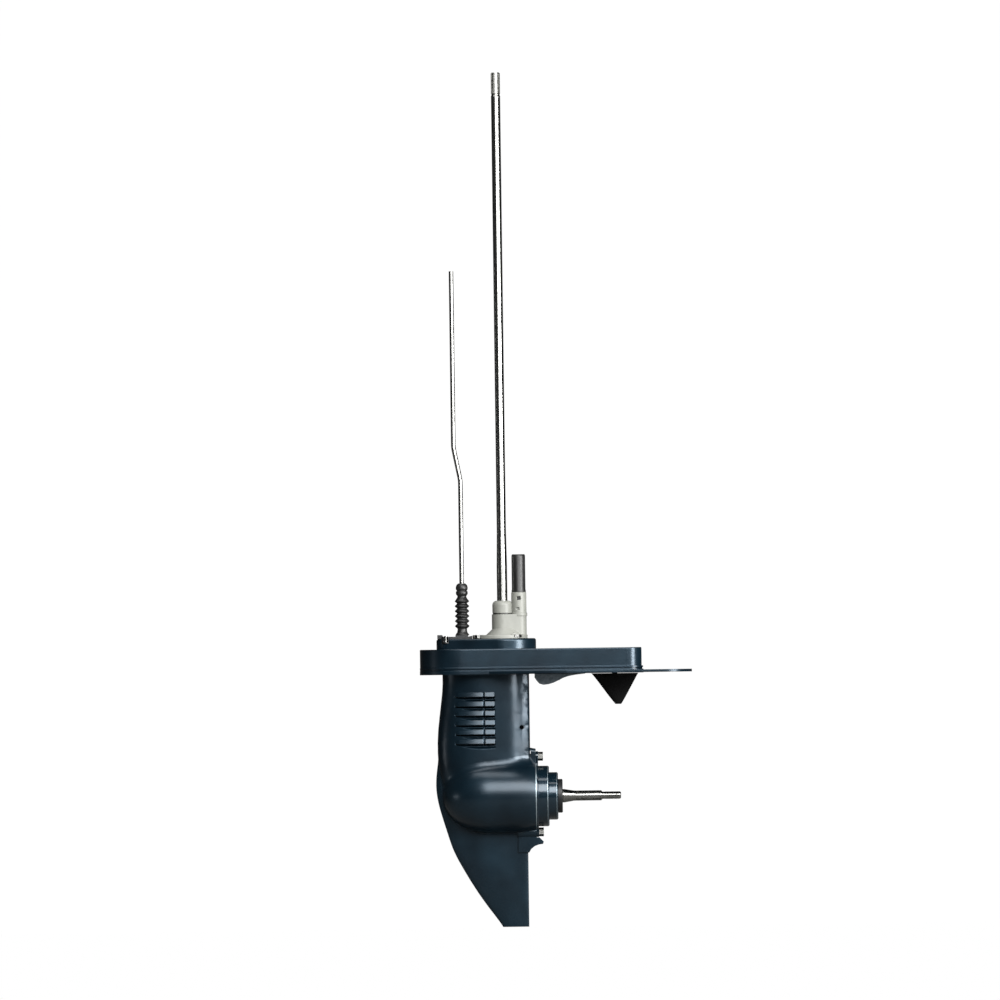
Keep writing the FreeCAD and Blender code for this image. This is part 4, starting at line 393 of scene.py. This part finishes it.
class DRESS_OT_boot(bpy.types.Operator):
    """Make the rubber bellows boot round the shift rod"""
    bl_idname = "lower_unit.boot"
    bl_label = "Shift rod boot"

    def execute(self, context):
        sizes = context.scene.boot_sizes
        low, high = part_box("shift_rod_boot")
        across, aside = axis_of("shift_rod_boot")
        ring, neck = sizes.ring_radius, sizes.neck_radius
        first, last = low.z + 10.2 * MM, low.z + 37.6 * MM
        knots = [(4.2 * MM, low.z), (7.4 * MM, low.z), (7.2 * MM, low.z + 1.2 * MM),
                 (5.7 * MM, low.z + 3.4 * MM), (5.2 * MM, low.z + 6.5 * MM)]
        for level in np.linspace(first, last, sizes.ring_count):
            knots += [(neck, level - 2.5 * MM), (ring - 0.9 * MM, level - 1.2 * MM),
                      (ring, level), (ring - 0.9 * MM, level + 1.2 * MM)]
        crown = high.z
        knots += [(4.9 * MM, crown - 14.6 * MM), (6.3 * MM, crown - 11.9 * MM),
                  (6.5 * MM, crown - 10.4 * MM), (6.3 * MM, crown - 8.9 * MM),
                  (5.5 * MM, crown - 8.0 * MM), (6.4 * MM, crown - 6.6 * MM),
                  (6.5 * MM, crown - 4.2 * MM), (5.6 * MM, crown - 1.6 * MM),
                  (3.6 * MM, crown), (2.6 * MM, crown - 0.3 * MM), (2.6 * MM, crown - 9 * MM),
                  (4.2 * MM, crown - 13 * MM), (4.2 * MM, low.z)]
        outline = smooth_profile(knots[:-3], 5)
        outline = np.vstack([outline, knots[-3:]])
        columns = 64
        points = turned_points(outline, columns)
        points[..., 0] += across
        points[..., 1] += aside
        boot = mesh_piece("shift_rod_bellows", points.reshape(-1, 3),
                          grid_faces(len(outline), columns), finish_of("rubber"), None)
        boot.data.flip_normals()
        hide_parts("shift_rod_boot")
        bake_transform(boot)
        return {"FINISHED"}


class DRESS_OT_tube_seal(bpy.types.Operator):
    """Make the rubber sleeve that takes the water tube"""
    bl_idname = "lower_unit.tube_seal"
    bl_label = "Water tube seal"

    def execute(self, context):
        low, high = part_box("water_tube_seal")
        across, aside = axis_of("water_tube_seal")
        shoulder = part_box("pump_housing")[1].z
        bore, wall = 4.8 * MM, 7.5 * MM
        knots = [(bore + 1.3 * MM, low.z), (bore + 1.3 * MM, shoulder),
                 (wall + 0.4 * MM, shoulder + 0.1 * MM), (wall + 0.35 * MM, shoulder + 1.6 * MM),
                 (wall, shoulder + 3 * MM), (wall, high.z - 2.2 * MM),
                 (wall - 0.2 * MM, high.z - 0.8 * MM), (wall - 0.9 * MM, high.z),
                 (bore + 0.8 * MM, high.z), (bore, high.z - 1.2 * MM), (bore, low.z)]
        columns = 64
        points = turned_points(knots + knots[:1], columns)
        points[..., 0] += across
        points[..., 1] += aside
        seal = mesh_piece("water_tube_sleeve", points.reshape(-1, 3),
                          grid_faces(len(knots) + 1, columns), finish_of("rubber"), "gearcase")
        soften(seal, 35)
        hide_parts("water_tube_seal")
        return {"FINISHED"}


def soften(piece, degrees):
    """Merge doubles, then shade smooth except over edges sharper than an angle."""
    mesh = piece.data
    work = bmesh.new()
    work.from_mesh(mesh)
    bmesh.ops.remove_doubles(work, verts=work.verts, dist=1e-7)
    bmesh.ops.recalc_face_normals(work, faces=work.faces)
    work.to_mesh(mesh)
    work.free()
    mesh.shade_smooth()
    mesh.set_sharp_from_angle(angle=math.radians(degrees))


class DRESS_OT_bolts(bpy.types.Operator):
    """Put chamfered washer-faced heads on the visible bolts"""
    bl_idname = "lower_unit.bolts"
    bl_label = "Bolt heads"

    def execute(self, context):
        steel = finish_of("stainless")
        for name, body in (("pump_housing_bolts", "gearcase"), ("carrier_bolts", "gearcase"),
                           ("retainer_bolt", "gearcase"), ("trim_tab_bolt", "trim_tab")):
            source = NODES[name].data
            dress_bolts(name, source, body, steel)
        return {"FINISHED"}


def dress_bolts(name, source, body, steel):
    """A copy of a bolt node with doubles merged and its head's edges chamfered."""
    mesh = source.copy()
    piece = bpy.data.objects.new(f"{name}_dressed", mesh)
    bpy.context.scene.collection.objects.link(piece)
    mesh.materials.clear()
    mesh.materials.append(steel)
    soften(piece, 25)
    bevel = piece.modifiers.new("edge", "BEVEL")
    bevel.width = 0.45 * MM
    bevel.segments = 2
    bevel.limit_method = "ANGLE"
    bevel.angle_limit = math.radians(28)
    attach(piece, body)
    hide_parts(name)


class DRESS_OT_thread(bpy.types.Operator):
    """Wind the thread on the propeller shaft's end"""
    bl_idname = "lower_unit.thread"
    bl_label = "Propeller thread"

    def execute(self, context):
        low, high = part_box("propeller_shaft")
        middle = (low.z + high.z) / 2
        pitch = 1.25 * MM
        core = 3.75 * MM
        crest = 4.25 * MM
        start, end = high.x - 18.5 * MM, high.x - 0.8 * MM
        turns = (end - start) / pitch
        steps = 36
        rows = int(turns * steps)
        along = np.linspace(0, 1, rows)[:, None]
        fade = np.clip(np.minimum(along, 1 - along) * turns, 0, 1)
        section = np.array([(-0.5, 0.0), (-0.08, 1.0), (0.08, 1.0), (0.5, 0.0), (0.0, -0.6)])
        angle = along * turns * 2 * math.pi
        radius = core + (crest - core) * section[None, :, 1] * fade
        across = start + along * (end - start) + section[None, :, 0] * pitch * 0.98
        points = np.stack([across * np.ones_like(radius), radius * np.cos(angle),
                           middle + radius * np.sin(angle)], axis=-1)
        columns = len(section)
        faces = grid_faces(rows, columns)
        thread = mesh_piece("propeller_shaft_thread", points.reshape(-1, 3), faces,
                            bpy.data.materials[context.scene["level_steel"]], "prop_shaft")
        soften(thread, 40)
        return {"FINISHED"}


def about_shaft(points):
    """Turns points about Z into points about the propeller shaft, with Z along it."""
    low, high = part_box("propeller_shaft")
    level = (low.z + high.z) / 2
    return np.stack([points[..., 2], points[..., 0], points[..., 1] + level], axis=-1)


def turned_ring(name, outline, material, place):
    """A closed ring that rides on the gearcase, from (radius, height) points in metres."""
    columns = 96
    points = place(turned_points(outline + outline[:1], columns)).reshape(-1, 3)
    faces = grid_faces(len(outline) + 1, columns)
    ring = mesh_piece(name, points, faces, material, "gearcase")
    soften(ring, 30)
    return ring


class DRESS_OT_carrier(bpy.types.Operator):
    """Put thin pale metal rings on the bearing carrier's edges as painted highlights, and the black
    end ring on its end
    """
    bl_idname = "lower_unit.carrier"
    bl_label = "Carrier edges"

    def execute(self, context):
        low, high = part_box("bearing_carrier")
        flange = (high.y - low.y) / 2
        # Painted highlights: thin pale metal rings stand on the carrier's edges so that they read as
        # bright lines.
        edge_highlight_metal = rough_metal("bare machined aluminium edge", "#9fb0b8", "#c6d2d8", 0.9, 0.35, 1.0, 0.1)
        ring, neck = 33.3 * MM, 26.1 * MM
        rings = (("carrier_flange_highlight", flange, 34.1 * MM, 0.9 * MM),
                 ("carrier_ring_highlight", ring, 47.0 * MM, 0.5 * MM),
                 ("carrier_neck_highlight", neck, 57.0 * MM, 0.35 * MM))
        for name, radius, start, wide in rings:
            sunk, proud = radius - 0.3 * MM, radius + 0.18 * MM
            turned_ring(name, [(sunk, start), (proud, start), (proud, start + wide),
                               (sunk, start + wide)], edge_highlight_metal, about_shaft)
        collar, end = 18.3 * MM, high.x
        depth, front, lip, chamfer = 4 * MM, 4.7 * MM, 0.25 * MM, 0.6 * MM
        turned_ring("carrier_end_ring",
                    [(collar - depth, end - front), (collar + lip, end - front),
                     (collar + lip, end - chamfer), (collar - chamfer, end + lip),
                     (collar - depth, end + lip)],
                    finish_of("black_plastic"), about_shaft)
        return {"FINISHED"}


class DRESS_OT_pump(bpy.types.Operator):
    """Seat a thin black ring in the groove under the pump's snout, as painted shade in the groove"""
    bl_idname = "lower_unit.pump"
    bl_label = "Pump groove shade"

    def execute(self, context):
        groove, wall = 38.0 * MM, 10.3 * MM
        low, high = groove + 0.1 * MM, groove + 1.0 * MM
        sunk, proud = wall - 0.4 * MM, wall + 0.42 * MM
        # Painted shade: the black ring darkens the shallow groove under the snout.
        turned_ring("snout_groove_shade_ring",
                    [(sunk, low), (proud, low), (proud, high), (sunk, high)],
                    finish_of("rubber"), np.array)
        return {"FINISHED"}


class DRESS_OT_louvres(bpy.types.Operator):
    """Set the pressed hoods over the leg's water louvres"""
    bl_idname = "lower_unit.louvres"
    bl_label = "Louvre hoods"

    def execute(self, context):
        sizes = context.scene.louvre_sizes
        for side, name in ((-1, "louvre_hoods_port"), (1, "louvre_hoods_starboard")):
            points, faces = louvre_hoods(side, sizes)
            hoods = mesh_piece(name, points, faces, finish_of("cast_paint"), "gearcase")
            soften(hoods, 30)
        return {"FINISHED"}


LOUVRE_COUNT = 6


def cheek_reach(across, level):
    """Half the leg's width at (x, z), in metres, as the casting's sections have it.

    From the nose's end to the middle of the chord the section is half an ellipse, and behind it
    the width falls with the square of the way aft, from the full half width to the tail's.
    """
    half, tail, aft = 25.0 * MM, 12.0 * MM, 28.4 * MM
    section_levels = [-0.105, -0.062, -0.018]
    swell = np.interp(level, section_levels, [0.96, 1.0, 1.06])
    front = np.interp(level, section_levels, [0.0732, 0.0692, 0.0678])
    share = (across + front) / (front + aft)
    wide = half * swell
    nose = wide * np.sqrt(np.clip(1 - ((0.5 - share) / 0.5) ** 2, 0, 1))
    body = wide - (wide - tail) * ((share - 0.5) / 0.5) ** 2
    return np.where(share > 0.5, body, nose)


def louvre_hoods(side, sizes):
    """Six wedge-shaped hoods, each over a slot, in one mesh.

    A hood's section runs from the cheek's skin at its top out to reach r at its lip and back
    into the wall. Along x, r ramps up from the front, is full to the aft end, and falls to
    nothing at an upright notch.
    """
    start, end = -53.8 * MM, -9.5 * MM
    across = np.linspace(start, end, 90)
    front_ramp, aft_ramp, notch_half, notch_place = 4 * MM, 0.8 * MM, 0.6 * MM, -21.9 * MM
    rise = np.clip((across - start) / front_ramp, 0, 1)
    fall = np.clip((end - across) / aft_ramp, 0, 1)
    notch = np.clip(np.abs(across - notch_place) / notch_half - 1.0, 0, 1)
    reach = sizes.reach * rise * fall * notch
    first, pitch = -54.3 * MM, 10.35 * MM
    slot = first - pitch * np.arange(LOUVRE_COUNT)
    edge, tuck, root = 0.5 * MM, -0.35 * MM, -2.2 * MM
    rows = [(sizes.top, 0.0, -edge / 2), (edge, 1.0, 0.0), (0.0, 1.0, tuck),
            (0.0, 0.0, root), (sizes.top, 0.0, root)]
    lift = np.array([row[0] for row in rows])[None, :, None]
    share = np.array([row[1] for row in rows])[None, :, None]
    inset = np.array([row[2] for row in rows])[None, :, None]
    level = slot[:, None, None] + sizes.lip + lift + 0 * across[None, None, :]
    place = across[None, None, :] + 0 * level
    out = cheek_reach(place, level) + share * reach[None, None, :] + inset
    points = np.stack([place, side * out, level], axis=-1)
    count = len(across)
    hood = grid_faces(count, len(rows))
    points = points.transpose(0, 2, 1, 3).reshape(-1, 3)
    faces = (hood[None] + (np.arange(LOUVRE_COUNT) * count * len(rows))[:, None, None]).reshape(-1, 4)
    return points, faces


class DRESS_OT_rod_and_spring(bpy.types.Operator):
    """Line the shift rod's way through the leg with a black tube, painted shade in the louvres, and
    copy the clutch spring into a piece of its own
    """
    bl_idname = "lower_unit.rod_and_spring"
    bl_label = "Rod liner and clutch spring"

    def execute(self, context):
        across, aside = axis_of("shift_rod_boot")
        inner, outer, low, high = 2.8 * MM, 3.9 * MM, -112 * MM, -44 * MM
        # A black tube round the rod inside the leg: it stops light showing through beside the rod,
        # and its black is painted shade in the louvre slots.
        turned_ring("shift_rod_shade_liner",
                    [(inner, low), (outer, low), (outer, high), (inner, high)],
                    finish_of("black_plastic"),
                    lambda points: points + np.array([across, aside, 0.0]))

        mesh = NODES["clutch_spring"].data.copy()
        spring = bpy.data.objects.new("clutch_spring_coils", mesh)
        bpy.context.scene.collection.objects.link(spring)
        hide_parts("clutch_spring")
        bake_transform(spring)
        return {"FINISHED"}


SOFTBOXES = (
    ("front panel", "panel", (0.30, -0.9, 0.42), (0.08, 0.0, -0.03), (1.1, 0.55)),
    ("key softbox", "key", (0.88, -0.68, 0.14), (0.02, 0.0, -0.10), (0.4, 0.4)),
    ("nose softbox", "nose", (-1.0, -0.25, -0.14), (-0.06, 0.0, -0.14), (0.22, 0.12)),
    ("top softbox", "top", (-0.1, -0.2, 1.5), (0.03, 0.0, 0.0), (1.0, 1.0)))


class DRESS_OT_stage(bpy.types.Operator):
    """Set up the floor, the backdrop, the studio light and the camera"""
    bl_idname = "lower_unit.stage"
    bl_label = "Stage"

    def execute(self, context):
        scene = context.scene
        scene.view_settings.view_transform = "Standard"
        make_floor()
        lights = scene.light_settings
        make_world(scene, lights.room)
        for name, setting, place, aim, size in SOFTBOXES:
            make_softbox(name, place, aim, size, getattr(lights, setting))
        make_camera(scene)
        return {"FINISHED"}


WHITE_SHARE = 0.97
WHITE_GLOW = 1.04


def make_floor():
    """A pale sweep under and behind the part, which the camera sees nearly white."""
    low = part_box("gearcase_casting")[0].z - 0.3 * MM
    front, back, half, bend, top = -3.0, 2.6, 4.0, 1.2, 3.5
    turn = np.linspace(0, math.pi / 2, 16)
    side = [(front, low)] + [(back - bend + bend * math.sin(a), low + bend - bend * math.cos(a))
                             for a in turn] + [(back, top)]
    side = np.array(side)
    points = np.vstack([np.column_stack([np.full(len(side), x), side]) for x in (-half, half)])
    count = len(side)
    rows = np.arange(count - 1)
    faces = np.column_stack([rows, rows + count, rows + count + 1, rows + 1])
    mesh = bpy.data.meshes.new("studio_sweep")
    mesh.from_pydata(points.tolist(), [], faces.tolist())
    mesh.shade_smooth()
    material = bpy.data.materials.new("pale paper sweep")
    material.use_nodes = True
    tree = material.node_tree
    tree.nodes.clear()
    paper = add_node(tree, "ShaderNodeBsdfDiffuse", Color=linear("#767674"))
    white = add_node(tree, "ShaderNodeEmission", Color=linear("#ffffff"), Strength=WHITE_GLOW)
    path = add_node(tree, "ShaderNodeLightPath")
    mix = add_node(tree, "ShaderNodeMixShader")
    share = add_node(tree, "ShaderNodeMath", [(0, path.outputs["Is Camera Ray"])],
                     operation="MULTIPLY")
    share.inputs[1].default_value = WHITE_SHARE
    tree.links.new(share.outputs["Value"], mix.inputs[0])
    tree.links.new(paper.outputs["BSDF"], mix.inputs[1])
    tree.links.new(white.outputs["Emission"], mix.inputs[2])
    output = add_node(tree, "ShaderNodeOutputMaterial")
    tree.links.new(mix.outputs["Shader"], output.inputs["Surface"])
    mesh.materials.append(material)
    sweep = bpy.data.objects.new("studio_sweep", mesh)
    bpy.context.scene.collection.objects.link(sweep)


def make_world(scene, level):
    """A dim room that the camera sees as white paper."""
    world = bpy.data.worlds.new("dim room")
    world.use_nodes = True
    tree = world.node_tree
    tree.nodes.clear()
    room = add_node(tree, "ShaderNodeBackground", Color=linear("#dfe6ea"), Strength=level)
    paper = add_node(tree, "ShaderNodeBackground", Color=linear("#ffffff"), Strength=1.0)
    path = add_node(tree, "ShaderNodeLightPath")
    mix = add_node(tree, "ShaderNodeMixShader", [(0, path.outputs["Is Camera Ray"]),
                                                 (1, room.outputs["Background"]),
                                                 (2, paper.outputs["Background"])])
    add_node(tree, "ShaderNodeOutputWorld", [("Surface", mix.outputs["Shader"])])
    scene.world = world


def make_softbox(name, place, aim, size, brightness):
    """A lit rectangle that faces a point and stays out of the camera's sight.

    A surface as bright as B over an area A gives off pi A B watts.
    """
    light = bpy.data.lights.new(name, "AREA")
    light.shape = "RECTANGLE"
    light.size, light.size_y = size
    light.energy = math.pi * size[0] * size[1] * brightness
    holder = bpy.data.objects.new(name, light)
    bpy.context.scene.collection.objects.link(holder)
    holder.location = place
    way = np.array(aim) - np.array(place)
    holder.rotation_euler = (math.acos(-way[2] / np.linalg.norm(way)), 0,
                             math.atan2(way[1], way[0]) - math.pi / 2)
    holder.visible_camera = False


PHOTO_SIDE = 1000
METRES_PER_PIXEL = 1.10 * MM
ORIGIN_PIXEL = (502.9, 648.8)
PHOTO_ROLL = 0.01335


def make_camera(scene):
    """A level parallel camera from port, rolled as the photograph is."""
    centre = PHOTO_SIDE / 2
    right = (centre - ORIGIN_PIXEL[0]) * METRES_PER_PIXEL
    up = (ORIGIN_PIXEL[1] - centre) * METRES_PER_PIXEL
    across = right + PHOTO_ROLL * up
    height = up - PHOTO_ROLL * right
    camera = bpy.data.cameras.new("photo_camera")
    camera.type = "ORTHO"
    camera.ortho_scale = PHOTO_SIDE * METRES_PER_PIXEL
    camera.clip_end = 20
    holder = bpy.data.objects.new("photo_camera", camera)
    scene.collection.objects.link(holder)
    holder.location = (across, -3.0, height)
    holder.rotation_euler = (math.pi / 2, PHOTO_ROLL, 0)
    scene.camera = holder


class DRESS_PT_panel(bpy.types.Panel):
    """The sidebar panel that lists the steps"""
    bl_idname = "DRESS_PT_panel"
    bl_label = "Lower unit"
    bl_space_type = "VIEW_3D"
    bl_region_type = "UI"
    bl_category = "Lower unit"

    def draw(self, context):
        for step in STEPS:
            self.layout.operator(step.bl_idname)
        for group in ("finish_colours", "boot_sizes", "louvre_sizes", "light_settings"):
            settings = getattr(context.scene, group)
            for name in settings.bl_rna.properties.keys():
                if name not in ("rna_type", "name"):
                    self.layout.prop(settings, name)


GROUPS = {"finish_colours": FinishColours, "boot_sizes": BootSizes,
          "louvre_sizes": LouvreSizes, "light_settings": LightSettings}
STEPS = (DRESS_OT_finishes, DRESS_OT_boot, DRESS_OT_tube_seal, DRESS_OT_bolts, DRESS_OT_thread,
         DRESS_OT_carrier, DRESS_OT_pump, DRESS_OT_louvres, DRESS_OT_rod_and_spring,
         DRESS_OT_stage)


def register():
    for name, group in GROUPS.items():
        bpy.utils.register_class(group)
        setattr(bpy.types.Scene, name, bpy.props.PointerProperty(type=group))
    for item in (*STEPS, DRESS_PT_panel):
        bpy.utils.register_class(item)


def unregister():
    for item in reversed((*STEPS, DRESS_PT_panel)):
        bpy.utils.unregister_class(item)
    for name, group in GROUPS.items():
        delattr(bpy.types.Scene, name)
        bpy.utils.unregister_class(group)


def main():
    register()
    bpy.ops.lower_unit.finishes()
    bpy.ops.lower_unit.boot()
    bpy.ops.lower_unit.tube_seal()
    bpy.ops.lower_unit.bolts()
    bpy.ops.lower_unit.thread()
    bpy.ops.lower_unit.carrier()
    bpy.ops.lower_unit.pump()
    bpy.ops.lower_unit.louvres()
    bpy.ops.lower_unit.rod_and_spring()
    bpy.ops.lower_unit.stage()


if __name__ == "__main__":
    main()
